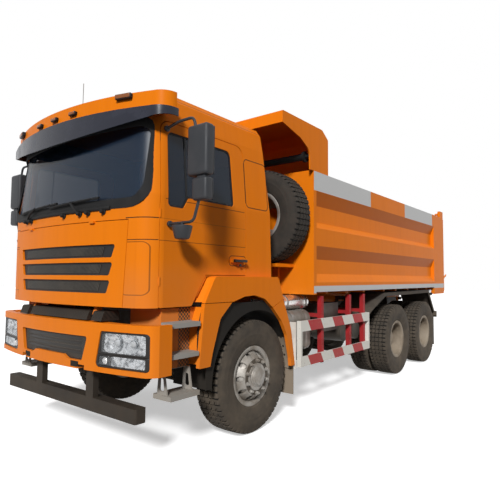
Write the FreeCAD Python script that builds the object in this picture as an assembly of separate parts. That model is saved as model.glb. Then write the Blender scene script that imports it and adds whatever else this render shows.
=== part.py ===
"""Three-axle tipping truck: forward-control cab, front-hoisted steel bed, spare wheel behind the cab.

Millimetres. X runs to the driver's side (left), Y rearwards, Z up. While the pieces are drawn, Y is
measured from the front axle; on export they move so that the origin lies on the ground under the
middle of the whole truck.
"""

import FreeCAD
import Part
import math
import os

V = FreeCAD.Vector

# Overall
WHEELBASE = 3775.0
BOGIE_SPACING = 1400.0
FRONT_TRACK = 2036.0
REAR_TRACK = 1860.0
BODY_HALF_WIDTH = 1245.0

# Clearances
SEAT_GAP = 0.3
PANEL_GAP = 6.0
RUNNING_GAP = 0.5

# Tyres and wheels
TYRE_DIAMETER = 1125.0
TYRE_WIDTH = 300.0
BEAD_RADIUS = 262.0
RIM_FLANGE_RADIUS = 298.0
RIM_WIDTH = 248.0
RIM_WALL = 12.0
DISC_FACE = 172.0
DISC_WALL = 14.0
HAND_HOLE_RADIUS = 27.0
HAND_HOLE_CIRCLE = 212.0
HAND_HOLES = 10
DRUM_RADIUS = 205.0
DRUM_WALL = 14.0
HUB_RADIUS = 135.0
FRONT_CAP_RADIUS = 78.0
REAR_CAP_RADIUS = 104.0

# Front axle and steering
KINGPIN_X = 890.0
KINGPIN_RADIUS = 22.0
KINGPIN_BOSS = 48.0
AXLE_BEAM_DROP = 140.0
AXLE_BEAM_WIDTH = 90.0
AXLE_BEAM_HEIGHT = 110.0
SPINDLE_RADIUS = 45.0
STEER_ARM = 150.0
STEER_ARM_INSET = 60.0

# Springs and drive axles
FRONT_SPRING_X = KINGPIN_X - 460.0
REAR_SPRING_X = 515.0
SPRING_WIDTH = 90.0
LEAF = 14.0
SHAFT_RISE = 10.0
AXLE_NOSE = 310.0
AXLE_TAIL = 270.0

# Chassis frame
RAIL_OUTER = 430.0
RAIL_HEIGHT = 300.0
RAIL_FLANGE = 80.0
RAIL_WALL = 8.0
FRAME_TOP = 1060.0
FRAME_FRONT = -1340.0
FRAME_REAR = 6080.0
SUBFRAME_HEIGHT = 110.0
CROSSMEMBERS = (-1250.0, 1350.0, 2500.0, 3400.0, 4475.0, 5560.0)

# Front end
BUMPER_HALF = 1258.0
BUMPER_FRONT = -1545.0
BUMPER_BOTTOM = 775.0
BUMPER_TOP = 1172.0
BUMPER_WALL = 50.0
LAMP_INNER_TOP = 722.0
LAMP_INNER_BOTTOM = 662.0
LAMP_OUTER = 1215.0
LAMP_TOP = 1110.0
LAMP_BOTTOM = 815.0
CARRIER_FRONT = -1400.0

# Cab
CAB_HALF_WIDTH = 1154.0
CAB_ROOF_HALF_WIDTH = 1080.0
CAB_FRONT = -1500.0
CAB_BACK = 370.0
CAB_BACK_TOP = 262.0
CAB_ROOF = 3170.0
CAB_FRONT_BOTTOM = 1300.0
CAB_FLOOR = 1560.0
CAB_WALL = 45.0
BELT_LINE = 2230.0
CAB_TILT_Y = -1400.0
CAB_TILT_Z = 1215.0
CAB_TILT_X = 500.0
CAB_LUG = 40.0
FIREWALL_Y = -1260.0
LINER_RADIUS = 662.0

# Door and windows
DOOR_FRONT = -1251.0
DOOR_BACK = -150.0
DOOR_TOP = 2870.0
DOOR_STEP_BOTTOM = 1302.0
MIRROR_Y = -1165.0
DOOR_ARCH_BOTTOM = 1574.0
WINDOW_SILL = 2236.0
GLASS_WALL = 6.0
GLASS_SET = 14.0
SCREEN_BOTTOM = 2170.0
SCREEN_TOP = 2850.0
SCREEN_HALF_WIDTH = 1075.0
HOOD_HALF_WIDTH = 905.0
HOOD_TOP = 2018.0
HOOD_BACK = -1290.0

# Bed
BED_FRONT = 1040.0
BED_REAR = 6450.0
BED_TOP = 2845.0
BED_FLOOR = 1465.0
BED_RAIL_BOTTOM = 1385.0
BED_FRONT_BOTTOM = 1355.0
BED_WALL = 65.0
BED_HINGE_Y = 6000.0
BED_HINGE_Z = 1135.0
BED_PIN_RADIUS = 32.0
CORNER_POST_START = 5800.0
TAILGATE_DEPTH = 70.0
GUARD_LIP = 370.0
GUARD_RISE = 550.0
GUARD_BACK = 1400.0
GUARD_PLATE = 14.0
GUARD_FRONT_DROP = 133.0
GUARD_BACK_DROP = 95.0
ROLLER_RADIUS = 42.0
GATE_DROP = 26.0
MUDGUARD_INSET = 23.0
BEARERS = (1500.0, 2060.0, 2620.0, 3380.0, 3900.0, 4480.0, 5000.0, 5540.0)

# Rear towing jaw
JAW_Y = 6220.0
JAW_BORE = 25.0

# Side guards
GUARD_POSTS = (1320.0, 2088.0, 2537.0)

# Hoist
HOIST_Y = 800.0
HOIST_FOOT_Z = 1180.0
HOIST_TRUNNION_Z = 1585.0
HOIST_TOP = 2940.0
HOIST_RADII = (90.0, 75.0, 60.0, 45.0)
HOIST_PIN_RADIUS = 30.0
HOIST_CHEEK = 108.0
HOIST_CHEEK_WALL = 14.0

# Spare wheel
SPARE_X = 705.0
SPARE_Y = 800.0
SPARE_Z = 2290.0

TYRE_RADIUS = TYRE_DIAMETER / 2
TANDEM_Y = (WHEELBASE, WHEELBASE + BOGIE_SPACING)
BOGIE_CENTRE = WHEELBASE + BOGIE_SPACING / 2
FRAME_BOTTOM = FRAME_TOP - RAIL_HEIGHT
SUBFRAME_TOP = FRAME_TOP + SUBFRAME_HEIGHT
DOOR_HINGE_X = CAB_HALF_WIDTH
HOOD_HINGE_Y = CAB_FRONT - 4
TAILGATE_FRONT = BED_REAR + PANEL_GAP
TAILGATE_HINGE_Y = TAILGATE_FRONT + TAILGATE_DEPTH / 2
TAILGATE_HINGE_Z = BED_TOP + 90
GUARD_TOP = BED_TOP + GUARD_RISE
VISOR_FRONT = -1545.0
VISOR_REACH = 45.0
VISOR_BOTTOM = 2935.0
VISOR_TOP = 3075.0
EAR_REACH = 40.0
FRONT_END = VISOR_FRONT - VISOR_REACH
REAR_END = TAILGATE_HINGE_Y + EAR_REACH
MID_Y = (FRONT_END + REAR_END) / 2
FRONT_SPRING_SEAT = TYRE_RADIUS - AXLE_BEAM_DROP + AXLE_BEAM_HEIGHT / 2 + 20
CAB_LEVELS = (
    (CAB_FRONT_BOTTOM, CAB_HALF_WIDTH, 0, CAB_BACK),
    (BELT_LINE, CAB_HALF_WIDTH, 0, 325.0),
    (2900.0, CAB_ROOF_HALF_WIDTH + 18, 60, CAB_BACK_TOP),
    (3080.0, CAB_ROOF_HALF_WIDTH - 14, 110, CAB_BACK_TOP - 4),
    (3142.0, CAB_ROOF_HALF_WIDTH - 46, 170, CAB_BACK_TOP - 30),
    (CAB_ROOF, CAB_ROOF_HALF_WIDTH - 130, 290, CAB_BACK_TOP - 110),
)


def lift(axis, level, p, q):
    """Point on the plane across an axis: p and q are the other two coordinates in X, Y, Z order."""
    if axis == "x":
        return V(level, p, q)
    if axis == "y":
        return V(p, level, q)
    return V(p, q, level)


def box(x0, x1, y0, y1, z0, z1):
    return Part.makeBox(x1 - x0, y1 - y0, z1 - z0, V(x0, y0, z0))


def outline_face(axis, level, corners):
    """Face bounded by straight edges with a tangent arc at each corner (p, q, radius)."""
    points = [V(c[0], c[1], 0) for c in corners]
    radii = [c[2] if len(c) > 2 else 0 for c in corners]
    joins = []
    for i, here in enumerate(points):
        if radii[i] == 0:
            joins.append((here, None, here))
            continue
        back = (points[i - 1] - here).normalize()
        ahead = (points[(i + 1) % len(points)] - here).normalize()
        half = back.getAngle(ahead) / 2
        reach = radii[i] / math.tan(half)
        middle = here + (back + ahead).normalize() * (radii[i] / math.sin(half) - radii[i])
        joins.append((here + back * reach, middle, here + ahead * reach))

    def up(point):
        return lift(axis, level, point.x, point.y)

    edges = []
    for i, (start, middle, end) in enumerate(joins):
        before = joins[i - 1][2]
        if before.distanceToPoint(start) > 1e-6:
            edges.append(Part.LineSegment(up(before), up(start)).toShape())
        if middle is not None:
            edges.append(Part.Arc(up(start), up(middle), up(end)).toShape())
    return Part.Face(Part.Wire(edges))


def prism(axis, low, high, corners):
    return outline_face(axis, low, corners).extrude(lift(axis, high - low, 0, 0))


def turned(corners):
    """Solid of revolution about the X axis from corners (x, radius, rounding)."""
    return outline_face("y", 0, corners).revolve(V(0, 0, 0), V(1, 0, 0), 360)


def rod(start, end, radius):
    run = end - start
    return Part.makeCylinder(radius, run.Length, start, run)


def pipe(start, end, radius, bore):
    return rod(start, end, radius).cut(rod(start, end, bore))


def mirrored(shape):
    return shape.mirror(V(0, 0, 0), V(1, 0, 0))


def both_sides(shape):
    return [shape, mirrored(shape)]


def fused(shapes):
    first = shapes[0]
    if len(shapes) > 1:
        first = first.fuse(shapes[1:])
    return first.removeSplitter()


def moved(shape, x, y, z):
    copy = shape.copy()
    copy.translate(V(x, y, z))
    return copy


def export(name, shapes):
    """Write one node, moved so that the origin is under the middle of the truck."""
    solids = shapes if isinstance(shapes, list) else [shapes]
    group = Part.makeCompound([moved(s, 0, -MID_Y, 0) for s in solids])
    group.exportStep(os.path.join("parts", name + ".step"))


# Wheels


def tyre():
    half = TYRE_WIDTH / 2
    seat = RIM_WIDTH / 2 - RIM_WALL - SEAT_GAP
    flank = [
        (seat, BEAD_RADIUS + SEAT_GAP),
        (seat, RIM_FLANGE_RADIUS + 4),
        (half - 12, RIM_FLANGE_RADIUS + 30),
        (half, RIM_FLANGE_RADIUS + 105),
        (half - 4, TYRE_RADIUS - 70),
        (half - 12, TYRE_RADIUS - 12),
        (half - 28, TYRE_RADIUS),
    ]
    return turned(flank + [(-x, r) for x, r in reversed(flank)])


def rim():
    half = RIM_WIDTH / 2
    seat = half - RIM_WALL
    inner = BEAD_RADIUS - RIM_WALL
    return turned(
        [
            (-half, RIM_FLANGE_RADIUS),
            (-seat, RIM_FLANGE_RADIUS),
            (-seat, BEAD_RADIUS),
            (seat, BEAD_RADIUS),
            (seat, RIM_FLANGE_RADIUS),
            (half, RIM_FLANGE_RADIUS),
            (half, BEAD_RADIUS),
            (seat, inner),
            (-seat, inner),
            (-half, BEAD_RADIUS),
        ]
    )


def disc():
    """Dished wheel disc, its mounting face DISC_FACE outside the rim's middle."""
    inner = BEAD_RADIUS - RIM_WALL + 3
    face = DISC_FACE
    dish = turned(
        [
            (60, inner),
            (84, 242),
            (face - 24, 206),
            (face, 186),
            (face, HUB_RADIUS + 2),
            (face - DISC_WALL, HUB_RADIUS + 2),
            (face - DISC_WALL, 180),
            (face - 34, 193),
            (72, 229),
            (44, inner),
        ]
    )
    hole = rod(V(0, 0, HAND_HOLE_CIRCLE), V(face + 20, 0, HAND_HOLE_CIRCLE), HAND_HOLE_RADIUS)
    holes = []
    for k in range(HAND_HOLES):
        turn = hole.copy()
        turn.rotate(V(0, 0, 0), V(1, 0, 0), 360 * (k + 0.5) / HAND_HOLES)
        holes.append(turn)
    return dish.cut(holes)


def wheel_nuts(face, radius):
    nuts = []
    for k in range(10):
        angle = math.radians(36 * k)
        foot = V(face - 1, radius * math.sin(angle), radius * math.cos(angle))
        nuts.append(rod(foot, foot + V(24, 0, 0), 16))
    return nuts


def front_hub():
    face = DISC_FACE
    bore = SPINDLE_RADIUS + RUNNING_GAP
    drum_back = KINGPIN_X + 53 - FRONT_TRACK / 2
    return turned(
        [
            (drum_back, DRUM_RADIUS),
            (118, DRUM_RADIUS),
            (face - DISC_WALL, 182),
            (face - DISC_WALL, HUB_RADIUS),
            (face + 8, HUB_RADIUS),
            (face + 14, FRONT_CAP_RADIUS + 12),
            (face + 34, FRONT_CAP_RADIUS),
            (face + 52, FRONT_CAP_RADIUS - 14),
            (face + 52, 0),
            (face - 12, 0),
            (face - 12, bore),
            (20, bore),
            (20, 90),
            (90, DRUM_RADIUS - DRUM_WALL - 40),
            (90, DRUM_RADIUS - DRUM_WALL),
            (drum_back, DRUM_RADIUS - DRUM_WALL),
        ]
    )


def front_wheel():
    metal = fused([rim(), disc(), front_hub()] + wheel_nuts(DISC_FACE, 161))
    return [moved(s, FRONT_TRACK / 2, 0, TYRE_RADIUS) for s in (tyre(), metal)]


def rear_hub():
    bore = 60 + RUNNING_GAP
    drum_back = -DISC_FACE - 150
    return turned(
        [
            (drum_back, DRUM_RADIUS),
            (-48, DRUM_RADIUS),
            (-DISC_WALL, 182),
            (DISC_WALL + 6, 182),
            (DISC_WALL + 6, HUB_RADIUS),
            (150, HUB_RADIUS - 12),
            (158, REAR_CAP_RADIUS),
            (190, REAR_CAP_RADIUS),
            (204, REAR_CAP_RADIUS - 40),
            (204, 0),
            (140, 0),
            (140, bore),
            (-60, bore),
            (-60, DRUM_RADIUS - DRUM_WALL),
            (drum_back, DRUM_RADIUS - DRUM_WALL),
        ]
    )


def rear_wheel(axle_y):
    """Twin tyres on two rims bolted back to back, with the hub and drum they turn on."""
    outer_disc = moved(mirrored(disc()), DISC_FACE, 0, 0)
    inner_disc = moved(disc(), -DISC_FACE, 0, 0)
    metal = fused(
        [moved(rim(), DISC_FACE, 0, 0), outer_disc, moved(rim(), -DISC_FACE, 0, 0), inner_disc, rear_hub()]
        + wheel_nuts(DISC_WALL, 161)
    )
    tyres = [moved(tyre(), DISC_FACE, 0, 0), moved(tyre(), -DISC_FACE, 0, 0)]
    return [moved(s, REAR_TRACK / 2, axle_y, TYRE_RADIUS) for s in tyres + [metal]]


def spare_wheel():
    pieces = []
    for shape in (tyre(), fused([rim(), disc()])):
        shape.rotate(V(0, 0, 0), V(0, 0, 1), -90)
        pieces.append(moved(mirror_y(shape), SPARE_X, SPARE_Y, SPARE_Z))
    return pieces


def mirror_y(shape):
    return shape.mirror(V(0, 0, 0), V(0, 1, 0))


# Steering and front axle


def knuckle():
    """Left steering knuckle: forked lugs on the kingpin, backing plate, spindle and steering arm."""
    centre = TYRE_RADIUS
    boss_half = 80 + SEAT_GAP
    lug_wall = 50
    web_in = KINGPIN_X + KINGPIN_BOSS + 6
    web_out = web_in + 32
    web = box(web_in, web_out, -68, 68, centre - boss_half - lug_wall, centre + boss_half + lug_wall)
    pieces = [web]
    for low in (centre + boss_half, centre - boss_half - lug_wall):
        lug = Part.makeCylinder(KINGPIN_BOSS, lug_wall, V(KINGPIN_X, 0, low))
        bridge = box(KINGPIN_X, web_in, -KINGPIN_BOSS, KINGPIN_BOSS, low, low + lug_wall)
        pieces += [lug, bridge]
    pieces.append(rod(V(web_out, 0, centre), V(web_out + 10, 0, centre), 180))
    pieces.append(rod(V(web_out, 0, centre), V(FRONT_TRACK / 2 + 140, 0, centre), SPINDLE_RADIUS))
    arm_low = centre - boss_half - lug_wall
    arm = prism(
        "z",
        arm_low,
        arm_low + 28,
        [
            (KINGPIN_X - 20, 30),
            (KINGPIN_X + 44, 30),
            (KINGPIN_X - STEER_ARM_INSET + 24, STEER_ARM + 28, 20),
            (KINGPIN_X - STEER_ARM_INSET - 24, STEER_ARM + 28, 20),
        ],
    )
    body = fused(pieces + [arm])
    bore = rod(V(KINGPIN_X, 0, arm_low - 1), V(KINGPIN_X, 0, 800), KINGPIN_RADIUS + SEAT_GAP)
    return body.cut(bore)


def tie_rod():
    """Track rod that joins the two steering arms, its ends just under the arms."""
    top = TYRE_RADIUS - 80 - SEAT_GAP - 50 - SEAT_GAP
    end_x = KINGPIN_X - STEER_ARM_INSET
    bar = rod(V(-end_x, STEER_ARM, top - 24), V(end_x, STEER_ARM, top - 24), 20)
    eyes = [Part.makeCylinder(28, 46, V(side * end_x, STEER_ARM, top - 46)) for side in (1, -1)]
    return fused([bar] + eyes)


def front_axle():
    centre = TYRE_RADIUS
    low = centre - AXLE_BEAM_DROP
    high_end = centre + 76
    low_end = centre - 76
    inboard = KINGPIN_X - KINGPIN_BOSS
    half = AXLE_BEAM_WIDTH / 2
    flank = [
        (inboard + 20, low_end, 0),
        (inboard + 20, high_end, 0),
        (inboard - 60, high_end, 30),
        (inboard - 240, low + AXLE_BEAM_HEIGHT / 2, 60),
    ]
    under = [(inboard - 210, low - AXLE_BEAM_HEIGHT / 2, 60), (inboard - 60, low_end, 30)]
    right = [(-x, z, r) for x, z, r in flank]
    right_under = [(-x, z, r) for x, z, r in under]
    beam = prism("y", -half, half, flank + right[::-1] + right_under[::-1] + under)
    flute = AXLE_BEAM_HEIGHT / 2 - 22
    for side in (-1, 1):
        y0, y1 = sorted((side * (half - 28), side * (half + 1)))
        beam = beam.cut(box(-560, 560, y0, y1, low - flute, low + flute))
    pieces = [beam]
    for side in (-1, 1):
        x = side * KINGPIN_X
        pieces.append(Part.makeCylinder(KINGPIN_BOSS, 160, V(x, 0, centre - 80)))
        pieces.append(Part.makeCylinder(KINGPIN_RADIUS, 264, V(x, 0, centre - 132)))
        seat_low = low + AXLE_BEAM_HEIGHT / 2
        pieces.append(box(x - side * 460 - 50, x - side * 460 + 50, -70, 70, seat_low, seat_low + 20))
    return fused(pieces)


def arched_leaf(x, centre_y, half_length, top_mid, top_end, leaves):
    """Stack of leaves as one bow: each lower leaf is shorter, so the underside is stepped."""
    pieces = []
    for k in range(leaves):
        reach = half_length * (1 - 0.8 * k / leaves)
        rise = (top_end - top_mid) * (reach / half_length) ** 2
        z = top_mid - LEAF * k
        top = [V(0, centre_y - reach, z + rise), V(0, centre_y, z), V(0, centre_y + reach, z + rise)]
        low = [p - V(0, 0, LEAF) for p in top]
        edges = [
            Part.Arc(*top).toShape(),
            Part.LineSegment(top[2], low[2]).toShape(),
            Part.Arc(*low).toShape(),
            Part.LineSegment(low[0], top[0]).toShape(),
        ]
        face = Part.Face(Part.Wire([edges[0], edges[1], edges[2], edges[3]]))
        face.translate(V(x - SPRING_WIDTH / 2, 0, 0))
        pieces.append(face.extrude(V(SPRING_WIDTH, 0, 0)))
    return pieces


def front_spring():
    leaves = 8
    top_mid = FRONT_SPRING_SEAT + SEAT_GAP + LEAF * leaves
    top_end = FRAME_BOTTOM - 40
    pieces = arched_leaf(FRONT_SPRING_X, 0, 800, top_mid, top_end, leaves)
    x0 = FRONT_SPRING_X - 35
    x1 = FRONT_SPRING_X + 35
    for y in (-800, 800):
        pieces.append(box(x0, x1, y - 45, y + 45, top_end - 20, FRAME_BOTTOM - SEAT_GAP))
    pieces.append(box(x0 - 22, x1 + 22, -60, 60, top_mid - LEAF * leaves, top_mid + 24))
    return fused(pieces)


def rear_spring():
    """Bogie pack over the trunnion, its ends resting on the two axle housings."""
    leaves = 10
    end_bottom = TYRE_RADIUS + 84
    top_mid = end_bottom + 116
    top_end = end_bottom + LEAF
    pieces = arched_leaf(REAR_SPRING_X, BOGIE_CENTRE, BOGIE_SPACING / 2 + 50, top_mid, top_end, leaves)
    x0 = REAR_SPRING_X - 58
    x1 = REAR_SPRING_X + 58
    mid = BOGIE_CENTRE
    pieces.append(box(x0, x1, mid - 90, mid + 90, top_mid - LEAF * leaves - 4, top_mid + 30))
    foot = [(mid - 70, 470), (mid + 70, 470), (mid + 150, top_mid - 136), (mid - 150, top_mid - 136)]
    pieces.append(prism("x", x0, x1, foot))
    pieces.append(rod(V(RAIL_OUTER - 2 + SEAT_GAP, mid, 520), V(x1 + 20, mid, 520), 62))
    return fused(pieces)


def trunnion_brackets():
    mid = BOGIE_CENTRE
    hanger = prism(
        "x",
        RAIL_OUTER - RAIL_FLANGE,
        RAIL_OUTER - 2,
        [(mid - 160, FRAME_BOTTOM), (mid + 160, FRAME_BOTTOM), (mid + 80, 450, 30), (mid - 80, 450, 30)],
    )
    return hanger


def drive_axle(y, leading):
    centre = TYRE_RADIUS
    pieces = [rod(V(-610, y, centre), V(610, y, centre), 68)]
    pieces.append(rod(V(-REAR_TRACK / 2 - 120, y, centre), V(REAR_TRACK / 2 + 120, y, centre), 60))
    for start, step, wide, narrow in ((y, 130, 225, 190), (y, -130, 225, 190), (y + 130, 70, 190, 110)):
        pieces.append(Part.makeCone(wide, narrow, abs(step), V(0, start, centre), V(0, step, 0)))
    nose = Part.makeCone(190, 70, 210, V(0, y - 100, centre + SHAFT_RISE), V(0, -1, 0))
    pieces.append(nose)
    if leading:
        pieces.append(rod(V(0, y, centre + 110), V(0, y + AXLE_TAIL, centre + 110), 48))
    for side in (-1, 1):
        x = side * REAR_SPRING_X
        pieces.append(box(x - 55, x + 55, y - 70, y + 70, centre + 40, centre + 84 - SEAT_GAP))
        backing = rod(V(side * 612, y, centre), V(side * 622, y, centre), 180)
        pieces.append(backing)
    return fused(pieces)


# Chassis


def rail():
    web = RAIL_OUTER - RAIL_WALL
    inner = RAIL_OUTER - RAIL_FLANGE
    low = FRAME_BOTTOM
    channel = [
        (inner, low),
        (RAIL_OUTER, low),
        (RAIL_OUTER, FRAME_TOP),
        (inner, FRAME_TOP),
        (inner, FRAME_TOP - RAIL_WALL),
        (web, FRAME_TOP - RAIL_WALL),
        (web, low + RAIL_WALL),
        (inner, low + RAIL_WALL),
    ]
    return prism("y", FRAME_FRONT, FRAME_REAR, channel)


def crossmember(y):
    web = RAIL_OUTER - RAIL_WALL
    inside = FRAME_TOP - RAIL_WALL
    low = FRAME_BOTTOM + RAIL_WALL
    plate = box(-web, web, y - 6, y + 6, low, inside)
    opening = prism(
        "y", y - 10, y + 10, [(-200, low + 60, 40), (200, low + 60, 40), (200, inside - 60, 40), (-200, inside - 60, 40)]
    )
    flanges = [box(-web, web, y - 6, y + 60, z, z + RAIL_WALL) for z in (low, inside - RAIL_WALL)]
    notch = box(-110, 110, y - 10, y + 70, low - 1, low + 62)
    return fused([plate.cut(opening)] + flanges).cut(notch)


def frame():
    pieces = both_sides(rail())
    pieces += [crossmember(y) for y in CROSSMEMBERS]
    closing = box(-RAIL_OUTER, RAIL_OUTER, FRAME_REAR - 12, FRAME_REAR, FRAME_BOTTOM, FRAME_TOP)
    pieces.append(closing)
    sill = box(RAIL_OUTER - RAIL_FLANGE, RAIL_OUTER, 700, FRAME_REAR, FRAME_TOP, SUBFRAME_TOP)
    pieces += both_sides(sill)
    pieces += both_sides(trunnion_brackets())
    cheek = prism(
        "x",
        RAIL_OUTER - RAIL_FLANGE - 24,
        RAIL_OUTER - RAIL_FLANGE + 2,
        [
            (BED_HINGE_Y - 150, FRAME_TOP - 140),
            (BED_HINGE_Y + 60, FRAME_TOP - 140),
            (BED_HINGE_Y + 60, BED_HINGE_Z + 58, 40),
            (BED_HINGE_Y - 90, BED_HINGE_Z + 58, 40),
        ],
    )
    pieces += both_sides(cheek)
    frame_solid = fused(pieces)
    clear = box(-RAIL_OUTER - 1, RAIL_OUTER + 1, BED_HINGE_Y - 130, FRAME_REAR + 1, FRAME_TOP, SUBFRAME_TOP + 1)
    keep = fused(both_sides(cheek))
    frame_solid = frame_solid.cut(clear).fuse(keep).removeSplitter()
    pin = rod(
        V(-RAIL_OUTER - 60, BED_HINGE_Y, BED_HINGE_Z), V(RAIL_OUTER + 60, BED_HINGE_Y, BED_HINGE_Z), BED_PIN_RADIUS
    )
    end = RAIL_OUTER - 20
    hoist_tube = rod(V(-end, HOIST_Y, HOIST_FOOT_Z), V(end, HOIST_Y, HOIST_FOOT_Z), HOIST_PIN_RADIUS)
    posts = box(end - 50, end, HOIST_Y - 60, HOIST_Y + 60, SUBFRAME_TOP - 20, HOIST_FOOT_Z + 45)
    return fused([frame_solid, pin, hoist_tube, cab_arch()] + both_sides(posts))


def cab_arch():
    """Arch over the engine's rear end that carries the back of the cab."""
    inner = RAIL_OUTER - RAIL_FLANGE
    top = CAB_FLOOR - 60
    beam = box(-RAIL_OUTER, RAIL_OUTER, 250, 330, top - 60, top)
    post = box(inner, RAIL_OUTER, 250, 330, FRAME_TOP - 5, top - 30)
    pad = box(inner, RAIL_OUTER, 260, 320, top - 5, CAB_FLOOR - SEAT_GAP)
    return fused([beam] + both_sides(post) + both_sides(pad))


def engine():
    block = prism(
        "y",
        -690,
        440,
        [(-180, 600, 40), (180, 600, 40), (300, 860), (330, 1180), (240, 1400, 30), (-240, 1400, 30), (-330, 1180), (-300, 860)],
    )
    flange = FRAME_BOTTOM + RAIL_WALL + SEAT_GAP
    mounts = [box(-400, 400, y, y + 80, flange, 830) for y in (-420, 260)]
    radiator = box(-340, 340, -830, -750, 780, 1280)
    foot = box(-400, 400, -830, -750, flange, 790)
    return [fused([block] + mounts), fused([radiator, foot])]


def jointed_shaft(start, end, radius):
    """Sloping tube between two upright flanges that face along the truck."""
    flange = V(0, 34, 0)
    tube = rod(start + flange * 0.5, end - flange * 0.5, radius)
    return fused([tube, rod(start, start + flange, radius + 20), rod(end - flange, end, radius + 14)])


def driveline():
    """Gearbox behind the engine, the shaft to the bogie and the short shaft between its axles."""
    centre = TYRE_RADIUS
    bell = Part.makeCone(260, 190, 160, V(0, 441, 860), V(0, 1, 0))
    case = prism("y", 600, 1180, [(-170, 690, 30), (170, 690, 30), (190, 1000, 30), (-190, 1000, 30)])
    mount = box(-400, 400, 860, 930, FRAME_BOTTOM + RAIL_WALL + SEAT_GAP, 800)
    nose_z = centre + SHAFT_RISE
    first_nose = WHEELBASE - AXLE_NOSE - SEAT_GAP
    shaft = jointed_shaft(V(0, 1170, 850), V(0, first_nose, nose_z), 55)
    tail = V(0, WHEELBASE + AXLE_TAIL + SEAT_GAP, centre + 110)
    second = jointed_shaft(tail, V(0, TANDEM_Y[1] - AXLE_NOSE - SEAT_GAP, nose_z), 44)
    return [fused([bell, case, mount, shaft]), second]


def carried(tank, inner, low, high, places, side):
    """Tank with its bracket arms reaching in to the frame rail."""
    x0, x1 = sorted((side * (RAIL_OUTER + SEAT_GAP), side * (inner + 12)))
    arms = [box(x0, x1, y, y + 60, low, high) for y in places]
    return fused([tank] + arms)


def side_tanks():
    """Oil tank, battery box and air reservoirs on the left, fuel tank on the right."""
    oil = prism("y", 705, 1180, [(640, 700, 60), (1110, 700, 60), (1110, 1165, 110), (640, 1165, 110)])
    fuel = prism("y", 760, 1960, [(-480, 560, 70), (-1110, 560, 70), (-1110, 1050, 110), (-480, 1050, 110)])
    battery = box(640, 1070, 1440, 1990, 860, 1225)
    pieces = [
        carried(oil, 640, 820, 980, (780, 1050), 1),
        carried(fuel, 480, 780, 900, (900, 1740), -1),
        carried(battery, 640, 900, 1020, (1500, 1880), 1),
    ]
    for y in (2405, 2800):
        tank = rod(V(480, y, 770), V(950, y, 770), 130)
        pieces.append(carried(tank, 490, 790, 850, (y - 30,), 1))
    return pieces


def silencer():
    """Polished cylinder above the oil tank, on a bracket off the frame."""
    z = 1258
    body = rod(V(940, 745, z), V(940, 1275, z), 88)
    stub = rod(V(940, 700, z), V(940, 1310, z), 34)
    post = box(RAIL_OUTER + SEAT_GAP, 500, 860, 920, 985, z + 20)
    arm = box(460, 900, 860, 920, z - 20, z + 20)
    return fused([body, stub, post, arm])


# Front end


def bumper_plan(inset):
    """Plan of the bumper: a shallow bow with round corners and short sides."""
    front = BUMPER_FRONT + inset
    half = BUMPER_HALF - inset
    return [
        (V(-half, -1190, 0), V(-half, -1330 + inset * 0.5, 0)),
        (V(-half, -1330 + inset * 0.5, 0), V(-half + 30, -1375 + inset * 0.8, 0), V(-half + 95, front + 128, 0)),
        (V(-half + 95, front + 128, 0), V(0, front, 0), V(half - 95, front + 128, 0)),
        (V(half - 95, front + 128, 0), V(half - 30, -1375 + inset * 0.8, 0), V(half, -1330 + inset * 0.5, 0)),
        (V(half, -1330 + inset * 0.5, 0), V(half, -1190, 0)),
        (V(half, -1190, 0), V(-half, -1190, 0)),
    ]


def plan_solid(runs, low, high):
    edges = []
    for run in runs:
        if len(run) == 2:
            edges.append(Part.LineSegment(run[0], run[1]).toShape())
        else:
            edges.append(Part.Arc(*run).toShape())
    face = Part.Face(Part.Wire(edges))
    face.translate(V(0, 0, low))
    return face.extrude(V(0, 0, high - low))


def lamp_outline(grow):
    return [
        (LAMP_INNER_TOP - grow, LAMP_TOP + grow, 25),
        (LAMP_OUTER + grow, LAMP_TOP + grow, 30),
        (LAMP_OUTER + grow, LAMP_BOTTOM - grow, 30),
        (LAMP_INNER_BOTTOM - grow, LAMP_BOTTOM - grow, 40),
    ]


def bumper_opening(shrink):
    """Front view of the bumper's middle opening, with the raised middle of its lower edge."""
    s = shrink
    right = [(560 - s, 1052 - s, 20), (498 - s, 846 + s, 20), (300 + s, 846 + s, 20), (240 + s, 876 + s, 20)]
    left = [(-p, q, r) for p, q, r in reversed(right)]
    return left[-1:] + right + left[:-1]


def bumper():
    outer = plan_solid(bumper_plan(0), BUMPER_BOTTOM, BUMPER_TOP)
    inner = plan_solid(bumper_plan(BUMPER_WALL), BUMPER_BOTTOM - 1, BUMPER_TOP + 1)
    shell = outer.cut(moved(inner, 0, BUMPER_WALL * 0.2, 0))
    back = box(-BUMPER_HALF - 1, BUMPER_HALF + 1, -1200, -1100, BUMPER_BOTTOM - 2, BUMPER_TOP + 2)
    shell = shell.cut(back)
    top = plan_solid(bumper_plan(6), BUMPER_TOP - 12, BUMPER_TOP)
    top = top.cut(box(-2000, 2000, -1395, -1000, BUMPER_TOP - 20, BUMPER_TOP + 20))
    shell = shell.fuse(top)
    cuts = [prism("y", -1700, -1180, lamp_outline(0))]
    cuts.append(mirrored(cuts[0]))
    cuts.append(prism("y", -1700, -1180, bumper_opening(0)))
    for side in (-1, 1):
        cuts.append(box(side * 488 - 45, side * 488 + 45, -1700, -1440, 768, 812))
    shell = shell.cut(cuts)
    brackets = [box(s * 430 - 40, s * 430 + 40, -1476, CARRIER_FRONT - SEAT_GAP, 1062, 1150) for s in (-1, 1)]
    return fused([shell] + brackets)


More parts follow.
